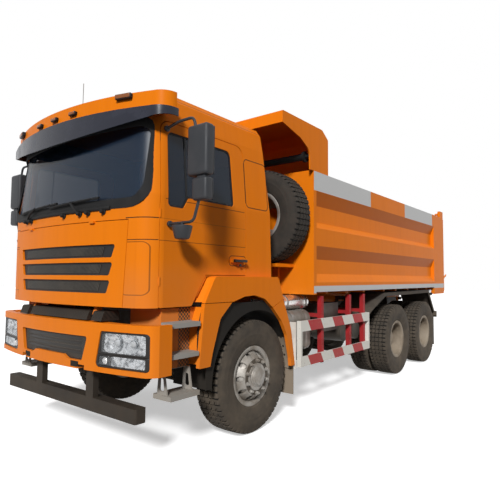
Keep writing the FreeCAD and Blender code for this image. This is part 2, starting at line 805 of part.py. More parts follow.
def headlamp():
    """Black housing of one lamp unit, filling the bumper's opening, with its lens and lower lamps proud."""
    bowl = prism("y", -1560, -1200, lamp_outline(-SEAT_GAP))
    reach = plan_solid(bumper_plan(4), LAMP_BOTTOM - 5, LAMP_TOP + 5)
    back = moved(plan_solid(bumper_plan(80), LAMP_BOTTOM - 6, LAMP_TOP + 6), 0, 40, 0)
    return bowl.common(reach).cut(back)


def bumper_grille():
    """Slatted insert in the bumper's middle opening."""
    outline = bumper_opening(SEAT_GAP)
    sheet = prism("y", -1700, -1200, outline)
    band = plan_solid(bumper_plan(26), 840, 1060).cut(plan_solid(bumper_plan(40), 830, 1070))
    insert = sheet.common(band)
    slots = []
    for row in range(4):
        z = 900 + 38 * row
        slots.append(box(-470, 470, -1700, -1200, z, z + 12))
    return insert.cut(slots)


def front_carrier():
    """Dark parts under the nose: bumper carrier, foot board, posts and the under-run bar."""
    back = FRAME_FRONT - SEAT_GAP
    board = prism("x", -700, 700, [(-1480, 1182), (-1300, 1182), (-1300, 1262), (-1450, 1262, 20)])
    beam = box(-640, 640, CARRIER_FRONT, back, 900, 1155)
    neck = box(-600, 600, CARRIER_FRONT + 12, back, 1150, 1190)
    pieces = [board, beam, neck]
    for side in (-1, 1):
        x = side * 430
        pieces.append(box(x - 55, x + 55, CARRIER_FRONT + 5, back, 500, 905))
    bar = prism("z", 394, 511, [(-1065, -1395, 20), (1065, -1395, 20), (1065, -1285, 20), (-1065, -1285, 20)])
    notch = box(CAB_TILT_X - 12, CAB_TILT_X + CAB_LUG + 12, -1500, CAB_TILT_Y + 60, CAB_TILT_Z - 45, 1300)
    carrier = fused(pieces + [bar]).cut(both_sides(notch))
    start = V(CAB_TILT_X - 30, CAB_TILT_Y, CAB_TILT_Z)
    pin = rod(start, start + V(CAB_LUG + 60, 0, 0), 18)
    return fused([carrier] + both_sides(pin))


# Cab


def cab_section(level, half, lean, back, inset):
    """Plan wire of the cab at one height: bowed front, round front corners, flat sides and back."""
    h = half - inset
    front = CAB_FRONT + lean + inset
    shoulder_x = h - 134
    shoulder_y = front + 115
    corner_y = front + 285 - inset * 0.2
    rear = back - inset
    round_rear = 60

    def at(x, y):
        return V(x, y, level)

    edges = [
        Part.Arc(at(-shoulder_x, shoulder_y), at(0, front), at(shoulder_x, shoulder_y)).toShape(),
        Part.Arc(at(shoulder_x, shoulder_y), at(h - 47, front + 176), at(h, corner_y)).toShape(),
        Part.LineSegment(at(h, corner_y), at(h, rear - round_rear)).toShape(),
        Part.LineSegment(at(h, rear - round_rear), at(h - round_rear, rear)).toShape(),
        Part.LineSegment(at(h - round_rear, rear), at(round_rear - h, rear)).toShape(),
        Part.LineSegment(at(round_rear - h, rear), at(-h, rear - round_rear)).toShape(),
        Part.LineSegment(at(-h, rear - round_rear), at(-h, corner_y)).toShape(),
        Part.Arc(at(-h, corner_y), at(47 - h, front + 176), at(-shoulder_x, shoulder_y)).toShape(),
    ]
    return Part.Wire(edges)


def cab_core(inset):
    """Upright inside of the cab's straight lower half, with the floor left out."""
    level, half, lean, back = CAB_LEVELS[0]
    low = level - 20
    face = Part.Face(cab_section(low, half, lean, back, inset))
    return face.extrude(V(0, 0, CAB_FLOOR + 2 * CAB_WALL + 20 - low))


def cab_loft(inset):
    """Cab from its lowest edge to the roof, its walls moved in and its floor left out."""
    wires = []
    for i, (level, half, lean, back) in enumerate(CAB_LEVELS):
        drop = inset if i >= 3 else 0
        wires.append(cab_section(level - drop, half, lean, back, inset))
    return Part.makeLoft(wires, True, True)


def cab_volume(inset):
    """Whole outside of the cab, or the same shape a wall's depth inside it."""
    volume = cab_loft(inset)
    under = [
        (-880 - inset, CAB_FRONT_BOTTOM - 10),
        (-880 - inset, CAB_FRONT_BOTTOM + 4),
        (-705 - inset, CAB_FLOOR + inset),
        (CAB_BACK + 10, CAB_FLOOR + inset),
        (CAB_BACK + 10, CAB_FRONT_BOTTOM - 10),
    ]
    volume = volume.cut(prism("x", -1300, 1300, under))
    if inset:
        low = CAB_FRONT_BOTTOM + inset
        volume = volume.cut(box(-1300, 1300, -1700, 500, CAB_FRONT_BOTTOM - 10, low))
    return volume


def door_outline(grow):
    """Side view of a door; grow widens it by the gap round the opening."""
    return [
        (DOOR_FRONT - grow, DOOR_STEP_BOTTOM - 3 * grow, 10),
        (DOOR_FRONT - grow, 2150, 300),
        (DOOR_FRONT + 36 - grow, DOOR_TOP + grow, 90),
        (DOOR_BACK + grow, DOOR_TOP + grow, 110),
        (DOOR_BACK + grow, DOOR_ARCH_BOTTOM - grow, 10),
        (-716 + 0.55 * grow, DOOR_ARCH_BOTTOM - grow, 40),
        (-890 + 0.55 * grow, DOOR_STEP_BOTTOM - 3 * grow, 30),
    ]


def window_outline(shrink):
    """Side window: deeper front lobe for the mirror view, then a step up to the main pane."""
    return [
        (-1178 + shrink, 2138 + shrink, 40),
        (-1000, 2138 + shrink, 40),
        (-945, WINDOW_SILL + shrink, 40),
        (-330 - shrink, WINDOW_SILL + shrink, 40),
        (-344 - shrink, 2786 - shrink, 70),
        (-1158 + shrink, 2786 - shrink, 60),
    ]


def screen_outline(shrink):
    half = SCREEN_HALF_WIDTH - shrink
    return [
        (-half, SCREEN_BOTTOM + shrink, 120),
        (half, SCREEN_BOTTOM + shrink, 120),
        (half - 10, SCREEN_TOP - shrink, 120),
        (-half + 10, SCREEN_TOP - shrink, 120),
    ]


def side_cut(outline, depth_from):
    """Cutter through the left side wall only."""
    return prism("x", depth_from, 1400, outline)


def hood_outline(shrink):
    half = HOOD_HALF_WIDTH - shrink
    return [
        (-half - 25, HOOD_TOP - shrink, 10),
        (half + 25, HOOD_TOP - shrink, 10),
        (half - 20, CAB_FRONT_BOTTOM - 20, 10),
        (-half + 20, CAB_FRONT_BOTTOM - 20, 10),
    ]


def cab_shell(outer, inner):
    """Hollow cab with the firewall and the two tilt lugs under its front edge."""
    shell = outer.cut(inner)
    firewall = box(-1120, 1120, FIREWALL_Y - 26, FIREWALL_Y, CAB_FRONT_BOTTOM + 20, SCREEN_BOTTOM - 20)
    shell = shell.fuse(firewall.common(outer)).removeSplitter()
    kept = cab_core(CAB_WALL + PANEL_GAP)
    doorway = side_cut(door_outline(PANEL_GAP), CAB_ROOF_HALF_WIDTH - 110).cut(kept)
    cuts = [doorway, mirrored(doorway)]
    cuts.append(prism("y", -1700, -1150, screen_outline(0)))
    cuts.append(prism("y", -1700, HOOD_BACK, hood_outline(-PANEL_GAP)).cut(kept))
    lug = prism(
        "x",
        CAB_TILT_X,
        CAB_TILT_X + CAB_LUG,
        [
            (CAB_TILT_Y + 30, CAB_TILT_Z - 30, 28),
            (CAB_TILT_Y + 40, CAB_FRONT_BOTTOM + 10),
            (CAB_TILT_Y - 5, CAB_FRONT_BOTTOM + 10),
            (CAB_TILT_Y - 30, CAB_TILT_Z + 20, 20),
            (CAB_TILT_Y - 30, CAB_TILT_Z - 30, 28),
        ],
    )
    lug = lug.cut(rod(V(0, CAB_TILT_Y, CAB_TILT_Z), V(900, CAB_TILT_Y, CAB_TILT_Z), 18 + SEAT_GAP))
    return fused([shell.cut(cuts)] + both_sides(lug))


def front_panel(outer):
    skin = outer.common(prism("y", -1700, HOOD_BACK - PANEL_GAP, hood_outline(0))).cut(cab_loft(CAB_WALL))
    slots = []
    for row, (top, low) in enumerate(((1822, 1712), (1672, 1562), (1522, 1412))):
        half_top = 800 - 26 * row
        slot = [(-half_top, top, 18), (half_top, top, 18), (half_top - 42, low, 18), (42 - half_top, low, 18)]
        slots.append(prism("y", -1700, -1200, slot))
    lugs = []
    for x in (-560, 500):
        lugs.append(box(x, x + 60, CAB_FRONT + 12, CAB_FRONT + 36, HOOD_TOP - 12, HOOD_TOP + PANEL_GAP - SEAT_GAP))
    return fused([skin.cut(slots)] + lugs)


def grille_inserts(middle):
    """Ribbed insert behind each slot of the front panel."""
    inserts = []
    for row, (top, low) in enumerate(((1822, 1712), (1672, 1562), (1522, 1412))):
        half_top = 800 - SEAT_GAP - 26 * row
        high = top - SEAT_GAP
        base = low + SEAT_GAP
        slot = [(-half_top, high, 18), (half_top, high, 18), (half_top - 42, base, 18), (42 - half_top, base, 18)]
        inserts.append(middle.common(prism("y", -1700, -1200, slot)))
    return inserts


def door(outer):
    skin = outer.common(side_cut(door_outline(0), CAB_ROOF_HALF_WIDTH - 110)).cut(cab_loft(CAB_WALL))
    skin = skin.cut(side_cut(window_outline(0), 900))
    grip = box(CAB_HALF_WIDTH - 1, CAB_HALF_WIDTH + 28, -380, -215, 1695, 1725)
    lugs = []
    for z in (1480, 2040):
        lug = box(CAB_HALF_WIDTH - 16, CAB_HALF_WIDTH - 1, DOOR_FRONT - PANEL_GAP + SEAT_GAP, DOOR_FRONT + 8, z, z + 70)
        lugs.append(lug)
    return fused([skin, grip] + lugs)


def door_glass():
    """Pane set back in the door, bent at the belt line as the door is."""
    low = CAB_HALF_WIDTH - GLASS_SET
    top_z, top_half = CAB_LEVELS[2][:2]
    high = top_half - GLASS_SET
    sheet = prism(
        "y",
        DOOR_FRONT,
        DOOR_BACK,
        [
            (low, BELT_LINE - 130),
            (low, BELT_LINE),
            (high, top_z),
            (high - GLASS_WALL, top_z),
            (low - GLASS_WALL, BELT_LINE),
            (low - GLASS_WALL, BELT_LINE - 130),
        ],
    )
    return sheet.common(side_cut(window_outline(RUNNING_GAP), 900))


def mirror_set(clear_of):
    """Left mirror: tall and low housings on two arms off the door, and a small kerb mirror."""
    inn = CAB_HALF_WIDTH + 246
    out = inn + 220
    y = MIRROR_Y
    main = prism("z", 2345, 2752, [(inn, y - 50, 35), (out, y - 50, 35), (out, y + 55, 25), (inn, y + 55, 25)])
    low = [(inn + 52, y - 45, 35), (out - 8, y - 45, 35), (out - 8, y + 50, 25), (inn + 52, y + 50, 25)]
    pieces = [main, prism("z", 2150, 2332, low), box(inn + 100, out - 40, y - 20, y + 20, 2330, 2347)]
    lower_arm = [(CAB_HALF_WIDTH + SEAT_GAP, 1990), (inn + 40, 1990), (inn + 100, 2160)]
    upper_arm = [(CAB_ROOF_HALF_WIDTH, 2796), (inn - 150, 2834), (inn + 30, 2834), (inn + 52, 2745)]
    for line in (lower_arm, upper_arm):
        for (x0, z0), (x1, z1) in zip(line, line[1:]):
            pieces.append(rod(V(x0, y, z0), V(x1, y, z1), 12))
        for x, z in line[1:-1]:
            pieces.append(rod(V(x, y - 14, z), V(x, y + 14, z), 14))
    pieces.append(Part.makeCone(62, 84, 112, V(inn - 85, y, 1856), V(0, 0, 1)))
    pieces.append(rod(V(inn - 85, y, 1960), V(inn - 85, y, 1996), 14))
    return fused(pieces).cut(clear_of)


def visor():
    """Painted fairing across the top of the screen, wrapping round both corners."""

    def band(out, low, high):
        arc_front = [V(-1130, -1335 - out, 0), V(0, VISOR_FRONT - out, 0), V(1130, -1335 - out, 0)]
        right = [V(1130, -1335 - out, 0), V(1215 + out * 0.6, -1280 - out * 0.6, 0), V(1245 + out * 0.5, -1180, 0)]
        left = [V(-1245 - out * 0.5, -1180, 0), V(-1215 - out * 0.6, -1280 - out * 0.6, 0), V(-1130, -1335 - out, 0)]
        close = [V(1245 + out * 0.5, -1180, 0), V(-1245 - out * 0.5, -1180, 0)]
        return plan_solid([left, arc_front, right, close], low, high)

    shell = band(0, VISOR_BOTTOM, VISOR_TOP).cut(moved(band(-34, VISOR_BOTTOM - 35, VISOR_TOP + 25), 0, -4, 0))
    lid = band(-6, VISOR_TOP - 15, VISOR_TOP)
    return shell, lid, band


def roof_visor(outer):
    shell, lid, band = visor()
    top = fused([shell, lid])
    return top.cut(outer)


def sun_visor(outer):
    _, _, band = visor()
    tilt = band(VISOR_REACH, 2700, 2932).cut(band(VISOR_REACH - 9, 2600, 3000))
    ends = 2876.0
    middle = 2742.0
    half = 1300.0
    bow = [V(-half, -1700, ends), V(0, -1700, middle), V(half, -1700, ends)]
    low = [V(half, -1700, 2600), V(-half, -1700, 2600)]
    edges = [Part.Arc(*bow).toShape()]
    edges += [Part.LineSegment(a, b).toShape() for a, b in ((bow[2], low[0]), (low[0], low[1]), (low[1], bow[0]))]
    under = Part.Face(Part.Wire(edges)).extrude(V(0, 700, 0))
    rim = band(VISOR_REACH, 2926, 2934.7).cut(band(-40, 2900, 3000))
    return fused([tilt, rim]).cut(under).cut(outer)


def upper_wing():
    skin_out = BODY_HALF_WIDTH - 10
    outline = [
        (-806, 1326),
        (-672, CAB_FLOOR, 60),
        (318, CAB_FLOOR, 50),
        (414, 1326, 10),
        (212, 1244),
        (80, 1335, 80),
        (-87, 1378, 200),
        (-250, 1370, 120),
        (-420, 1326),
    ]
    skin = prism("x", skin_out - 40, skin_out, outline)
    shelf = box(1010, skin_out - 30, -640, 300, CAB_FLOOR - 14, CAB_FLOOR)
    return fused([skin, shelf])


def seats():
    pieces = []
    for x in (560, -560):
        base = box(x - 250, x + 250, -560, -60, CAB_FLOOR + CAB_WALL + SEAT_GAP, 1950)
        cushion = prism("x", x - 260, x + 260, [(-620, 1950, 30), (-40, 1950, 30), (-40, 2060, 30), (-620, 2080, 40)])
        back = prism("x", x - 250, x + 250, [(-110, 2060), (20, 2060), (110, 2620, 40), (20, 2640, 40)])
        head = prism("x", x - 130, x + 130, [(20, 2600), (100, 2600), (130, 2790, 30), (50, 2790, 30)])
        pieces.append(fused([base, cushion, back, head]))
    return pieces


def dashboard():
    front = FIREWALL_Y + SEAT_GAP
    top = prism("x", -1040, 1040, [(front, 1900), (-1080, 1900, 40), (-1020, 2110, 60), (front, 2130)])
    column = rod(V(560, -1060, 2020), V(560, -880, 2110), 38)
    wheel = Part.makeTorus(225, 17, V(560, -872, 2114), V(0, 0.45, 0.9))
    spokes = [box(560 - 222, 560 + 222, -890, -860, 2100, 2120)]
    return fused([top, column, wheel] + spokes)


# Steps, wings and side gear


def steps():
    """Left boarding steps: painted side box, two alloy treads and a hanging bottom step."""
    out = BODY_HALF_WIDTH - 10
    skin = BODY_HALF_WIDTH - 135
    face = prism(
        "x",
        skin - 25,
        skin,
        [(-1190, 785), (-870, 785), (-870, 1100), (-800, 1290), (-1190, 1290)],
    )
    ends = [box(700, skin, y, y + 12, 800, 1285) for y in (-1185, -880)]
    floor = box(700, skin, -1190, -870, 785, 800)
    treads = [
        box(skin - 5, out, -1184, -858, 1136, 1176),
        box(skin - 5, out, -1184, -872, 886, 924),
        box(out - 215, out, -1184, -857, 556, 596),
    ]
    grooves = []
    for tread_z in (1176, 924, 596):
        for k in range(6):
            x = out - 107 + 17 * k
            grooves.append(box(x, x + 7, -1300, -840, tread_z - 6, tread_z + 1))
    hangers = []
    for y in (-1178, -900):
        plate = prism("y", y, y + 14, [(out - 175, 590), (out - 55, 590), (out - 95, 800), (out - 155, 800)])
        corners = [(out - 145, 625, 18), (out - 85, 625, 18), (out - 100, 730, 14), (out - 140, 730, 14)]
        hole = prism("y", y - 1, y + 15, corners)
        hangers.append(plate.cut(hole))
    bracket = box(RAIL_OUTER + SEAT_GAP, 705, -1060, -980, 800, 880)
    return fused([face, floor, bracket] + ends + treads + hangers).cut(grooves)


def lower_wings():
    """Left wing parts that stay on the chassis: the front leg and the strip behind the wheel."""
    skin_out = BODY_HALF_WIDTH - 10
    leg = [
        (-866, 770, 6),
        (-728, 770, 6),
        (-700, 886, 60),
        (-600, 1180, 80),
        (-440, 1320),
        (-808, 1320),
    ]
    strip = [
        (220, 1238),
        (412, 1320),
        (560, 1000, 200),
        (640, 590, 10),
        (566, 590),
        (556, 680, 60),
        (482, 935, 120),
        (380, 1090, 100),
    ]
    return [prism("x", skin_out - 40, skin_out, leg), prism("x", skin_out - 40, skin_out, strip)]


def arch_liner():
    """Left wheel housing: a bowed sheet over the tyre, its side plate, its bracket and the flap behind."""
    axle = TYRE_RADIUS
    skin_in = BODY_HALF_WIDTH - 50 - SEAT_GAP
    ring = rod(V(700, 0, axle), V(skin_in, 0, axle), LINER_RADIUS + 8)
    ring = ring.cut(rod(V(690, 0, axle), V(skin_in + 1, 0, axle), LINER_RADIUS))
    ring = ring.cut(box(690, 1300, -900, 900, -200, axle - 20))
    plate = prism(
        "x",
        skin_in - 8,
        skin_in,
        [(-850, 790), (-850, 1100), (-790, 1312), (395, 1312), (540, 1000), (640, 600), (640, 560), (-740, 560), (-740, 790)],
    )
    plate = plate.cut(rod(V(690, 0, axle), V(1300, 0, axle), LINER_RADIUS + 2))
    arm = box(RAIL_OUTER + SEAT_GAP, skin_in - 4, -30, 30, axle + LINER_RADIUS + 2, axle + LINER_RADIUS + 34)
    foot = box(RAIL_OUTER + SEAT_GAP, RAIL_OUTER + 30, -30, 30, FRAME_TOP - 120, axle + LINER_RADIUS + 20)
    flap = box(905, skin_in, 664, 676, 258, axle + 60)
    strap = box(905, skin_in, 650, 676, axle - 20, axle + 20)
    return fused([ring, plate, arm, foot, flap, strap])


def side_guard():
    """Left side guard: two box rails between end posts."""
    out = BODY_HALF_WIDTH - 10
    inn = out - 30
    rails = [box(inn, out, 767, 2650, 940, 1060), box(inn, out, 767, 2650, 542, 652)]
    ends = [box(inn - 26, out, 767, 800, 542, 1060), box(inn - 26, out, 2617, 2650, 542, 1060)]
    return fused(rails + ends)


def guard_posts():
    """Left uprights that carry the side guard, each on an arm off the frame."""
    face = BODY_HALF_WIDTH - 40 - SEAT_GAP
    pieces = []
    for y in GUARD_POSTS:
        post = box(face - 58, face, y - 28, y + 28, 520, 1330)
        arm = box(RAIL_OUTER + SEAT_GAP, face - 20, y - 28, y + 28, FRAME_TOP + 10, FRAME_TOP + 54)
        pieces.append(fused([post, arm]))
    return pieces


def rear_mudguard():
    """Left guard over the twin tyres: slanted front, flat top, sloping rear, and the flap on it."""
    top = [
        (2669, 1030),
        (3285, 1325, 60),
        (5483, 1340, 90),
        (5860, 892),
        (5850, 886),
        (5478, 1330, 80),
        (3289, 1315, 55),
        (2673, 1020),
    ]
    out = BODY_HALF_WIDTH - MUDGUARD_INSET
    sheet = prism("x", 640, out, top)
    skirt = [(2669, 1030), (3285, 1325, 60), (5483, 1340, 90), (5860, 892), (5790, 905), (5460, 1285, 60), (3300, 1270, 60)]
    lip = prism("x", out - 10, out, skirt)
    flap = box(640, out - 22, 5850, 5860, 245, 900)
    arms = []
    for y, z in ((3150, 1262), (4200, 1322), (5250, 1336)):
        arms.append(box(RAIL_OUTER + SEAT_GAP, 700, y - 25, y + 25, z - 60, z))
        arms.append(box(RAIL_OUTER + SEAT_GAP, RAIL_OUTER + 40, y - 25, y + 25, 960, z))
    return fused([sheet, lip, flap] + arms)


def rear_lamps():
    bar = box(-1180, 1180, 6080 + SEAT_GAP, 6130, 800, 860)
    pieces = [bar]
    for side in (-1, 1):
        x = side * 960
        pieces.append(box(x - 210, x + 210, 6128, 6180, 770, 890))
    jaw = [box(-60, 60, 6128, 6140, 780, 880)]
    for z in (780, 860):
        jaw.append(prism("z", z, z + 20, [(-60, 6130), (60, 6130), (60, JAW_Y + 50, 45), (-60, JAW_Y + 50, 45)]))
    bore = rod(V(0, JAW_Y, 700), V(0, JAW_Y, 900), JAW_BORE)
    return fused(pieces + jaw).cut(bore)


def spare_carrier():
    """Upright, hub plate and cradle behind the cab that hold the spare wheel."""
    face = SPARE_Y + DISC_FACE + SEAT_GAP
    back = BED_FRONT - 10
    post = box(SPARE_X - 60, SPARE_X + 60, face + 8, back, SUBFRAME_TOP + 20, SPARE_Z + 200)
    foot = box(RAIL_OUTER - 78, SPARE_X + 60, face - 10, back, SUBFRAME_TOP + SEAT_GAP, SUBFRAME_TOP + 60)
    plate = rod(V(SPARE_X, face, SPARE_Z), V(SPARE_X, face + 12, SPARE_Z), 186)
    cradle_z = SPARE_Z - TYRE_RADIUS - 6
    cradle = box(SPARE_X - 260, SPARE_X + 260, SPARE_Y - 130, back, cradle_z - 40, cradle_z)
    return fused([post, foot, plate, cradle])


# Bed


def side_profile():
    """Cross-section of the left bed side: top band, two pressed bays and the bottom rail."""
    out = BODY_HALF_WIDTH
    deep = out - 62
    inner = out - 80
    return [
        (inner, BED_FLOOR),
        (inner, BED_TOP),
        (out, BED_TOP),
        (out, 2611),
        (deep, 2441),
        (deep, 2235),
        (out, 2157),
        (out, 1941),
        (deep, 1780),
        (deep, 1604),
        (out, 1500),
        (out, BED_RAIL_BOTTOM),
        (out - 90, BED_RAIL_BOTTOM),
    ]


def bed_body():
    out = BODY_HALF_WIDTH
    side = prism("y", BED_FRONT + 30, CORNER_POST_START + 10, side_profile())
    post_front = box(out - 85, out, BED_FRONT, BED_FRONT + 44, BED_FRONT_BOTTOM, BED_TOP)
    post_rear = box(out - 85, out, CORNER_POST_START, BED_REAR, 1250, BED_TOP)
    web = box(out - 85, out - 62, BED_FRONT + 30, CORNER_POST_START + 10, BED_RAIL_BOTTOM, BED_TOP - 20)
    front = box(-out, out, BED_FRONT, BED_FRONT + BED_WALL, BED_FRONT_BOTTOM, BED_TOP)
    floor = box(-out + 60, out - 60, BED_FRONT + 10, BED_REAR, BED_RAIL_BOTTOM, BED_FLOOR)
    bolster = box(-out + 60, out - 60, BED_REAR - 90, BED_REAR, 1250, BED_RAIL_BOTTOM + 5)
    ears = []
    for x in (out - 70, -out + 20):
        ears.append(box(x, x + 50, BED_REAR - 120, REAR_END, BED_TOP - 10, TAILGATE_HINGE_Z + 45))
    for x in (HOIST_CHEEK, -HOIST_CHEEK - HOIST_CHEEK_WALL):
        cheek = [
            (HOIST_Y - 50, HOIST_TRUNNION_Z - 50, 30),
            (BED_FRONT + 5, HOIST_TRUNNION_Z - 130),
            (BED_FRONT + 5, HOIST_TRUNNION_Z + 100),
            (HOIST_Y - 50, HOIST_TRUNNION_Z + 50, 30),
        ]
        ears.append(prism("x", x, x + HOIST_CHEEK_WALL, cheek))
    pieces = [front, floor, bolster] + both_sides(side) + both_sides(post_front)
    pieces += both_sides(post_rear) + both_sides(web) + ears
    hinge_pin = [
        rod(V(x, TAILGATE_HINGE_Y, TAILGATE_HINGE_Z), V(x + 100, TAILGATE_HINGE_Y, TAILGATE_HINGE_Z), 20)
        for x in (-out + 68, out - 168)
    ]
    return fused(pieces + hinge_pin)


def bed_sills():
    """Long sills and cross bearers under the bed floor, with the hinge lugs at the rear."""
    low = SUBFRAME_TOP + SEAT_GAP
    high = BED_RAIL_BOTTOM
    x0 = RAIL_OUTER - RAIL_FLANGE + 8
    sill = box(x0, RAIL_OUTER, BED_FRONT + BED_WALL, 6060, low, high)
    pieces = [sill]
    bearer = [
        (x0 + 20, high),
        (x0 + 20, high - 110),
        (RAIL_OUTER + 20, high - 110),
        (620, high - 38),
        (1150, high - 38),
        (1150, high),
    ]
    for y in BEARERS:
        pieces.append(prism("y", y, y + 70, bearer))
    lug = prism(
        "x",
        RAIL_OUTER - 46,
        RAIL_OUTER - 4,
        [
            (BED_HINGE_Y - 120, low + 30),
            (BED_HINGE_Y - 70, BED_HINGE_Z - 20, 20),
            (BED_HINGE_Y, BED_HINGE_Z - 62, 30),
            (BED_HINGE_Y + 70, BED_HINGE_Z - 20, 20),
            (BED_HINGE_Y + 60, low + 30),
        ],
    )
    pin_bore = rod(V(0, BED_HINGE_Y, BED_HINGE_Z), V(700, BED_HINGE_Y, BED_HINGE_Z), BED_PIN_RADIUS + SEAT_GAP)
    left = fused(pieces + [lug]).cut(pin_bore)
    return both_sides(left)


def cab_guard():
    """Guard over the cab: lip, roof sheet bent down at the back, and a cheek plate each side."""
    out = BODY_HALF_WIDTH
    t = GUARD_PLATE
    lip_low = GUARD_TOP - GUARD_FRONT_DROP
    bend_low = GUARD_TOP - GUARD_BACK_DROP
    roof = [
        (GUARD_LIP, lip_low),
        (GUARD_LIP, GUARD_TOP, 10),
        (GUARD_BACK - 150, GUARD_TOP, 60),
        (GUARD_BACK, bend_low, 40),
        (GUARD_BACK, BED_TOP + SEAT_GAP),
        (GUARD_BACK - t, BED_TOP + SEAT_GAP),
        (GUARD_BACK - t, bend_low - 6, 34),
        (GUARD_BACK - 155, GUARD_TOP - t, 50),
        (GUARD_LIP + t, GUARD_TOP - t, 4),
        (GUARD_LIP + t, lip_low),
    ]
    sheet = prism("x", -out, out, roof)
    shelf = box(-out, out, BED_FRONT + 4, GUARD_BACK, BED_TOP + SEAT_GAP, BED_TOP + SEAT_GAP + t)
    cheek = [
        (GUARD_LIP, lip_low),
        (GUARD_LIP, GUARD_TOP, 10),
        (GUARD_BACK - 150, GUARD_TOP, 60),
        (GUARD_BACK, bend_low, 40),
        (GUARD_BACK, BED_TOP + SEAT_GAP),
        (BED_FRONT - 88, BED_TOP + SEAT_GAP),
        (BED_FRONT - 90, BED_TOP + 0.41 * GUARD_RISE, 110),
        (BED_FRONT - 300, BED_TOP + 0.605 * GUARD_RISE, 100),
    ]
    side = prism("x", out - t, out, cheek)
    return fused([sheet, shelf] + both_sides(side))


def tarp_roller():
    y = BED_FRONT - 74
    z = BED_TOP + 0.3 * GUARD_RISE
    reach = BODY_HALF_WIDTH - GUARD_PLATE - SEAT_GAP
    pieces = [rod(V(60 - reach, y, z), V(reach - 60, y, z), ROLLER_RADIUS)]
    for x in (-reach + 54, reach - 80):
        pieces.append(rod(V(x, y, z), V(x + 26, y, z), ROLLER_RADIUS + 24))
    for x in (-reach, reach - 56):
        pieces.append(rod(V(x, y, z), V(x + 56, y, z), ROLLER_RADIUS - 22))
    return fused(pieces)


def tailgate():
    """Rear door of the bed: ribbed plate hung from two arms at the top."""
    out = BODY_HALF_WIDTH - 12
    y0 = TAILGATE_FRONT
    top = BED_TOP - GATE_DROP
    plate = box(-out, out, y0, y0 + 16, 1290, top)
    ribs = []
    for x in (-out, -640, -210, 140, 570, out - 70):
        ribs.append(box(x, x + 70, y0 + 10, y0 + TAILGATE_DEPTH, 1290, top))
    for z in (1290, 2050, top - 70):
        ribs.append(box(-out, out, y0 + 10, y0 + TAILGATE_DEPTH, z, z + 70))
    arms = []
    for x in (-out + 70 - 6, out - 70 - 34):
        arm = prism(
            "x",
            x,
            x + 40,
            [
                (y0, BED_TOP - 60),
                (y0 + TAILGATE_DEPTH, BED_TOP - 60),
                (y0 + TAILGATE_DEPTH, TAILGATE_HINGE_Z + 34, 30),
                (y0, TAILGATE_HINGE_Z + 34, 30),
            ],
        )
        arms.append(arm)
    gate = fused([plate] + ribs + arms)
    pin = rod(V(-out, TAILGATE_HINGE_Y, TAILGATE_HINGE_Z), V(out, TAILGATE_HINGE_Y, TAILGATE_HINGE_Z), 20 + SEAT_GAP)
    return gate.cut(pin)


def hoist():
    """Telescopic front hoist: its ram's foot on the chassis, two stages, and the outer tube on top.

    The outer tube's trunnion pins sit between the cheeks on the bed's front wall.
    """
    radii = HOIST_RADII
    low = HOIST_FOOT_Z + 96

    def sleeve(outer, bore, bottom, top):
        wall = pipe(V(0, HOIST_Y, bottom), V(0, HOIST_Y, top), outer, bore)
        return wall

    foot = rod(V(-50, HOIST_Y, HOIST_FOOT_Z), V(50, HOIST_Y, HOIST_FOOT_Z), 62)
    bore = rod(V(-60, HOIST_Y, HOIST_FOOT_Z), V(60, HOIST_Y, HOIST_FOOT_Z), HOIST_PIN_RADIUS + SEAT_GAP)
    ram = rod(V(0, HOIST_Y, HOIST_FOOT_Z), V(0, HOIST_Y, HOIST_TOP - 40), radii[3])
    pieces = [fused([foot, ram]).cut(bore)]
    for k in (2, 1):
        pieces.append(sleeve(radii[k], radii[k + 1] + RUNNING_GAP, low + 20 * (2 - k), HOIST_TOP - 40))
    cover = sleeve(radii[0], radii[1] + RUNNING_GAP, low + 40, HOIST_TOP)
    cap = rod(V(0, HOIST_Y, HOIST_TOP - 20), V(0, HOIST_Y, HOIST_TOP), radii[0])
    ring = sleeve(radii[0] + 8, radii[1] + RUNNING_GAP, HOIST_TRUNNION_Z - 60, HOIST_TRUNNION_Z + 60)
    pins = []
    for side in (-1, 1):
        start = V(side * (radii[0] - 6), HOIST_Y, HOIST_TRUNNION_Z)
        pins.append(rod(start, V(side * (HOIST_CHEEK - SEAT_GAP), HOIST_Y, HOIST_TRUNNION_Z), 36))
    pieces.append(fused([cover, cap, ring] + pins))
    return pieces


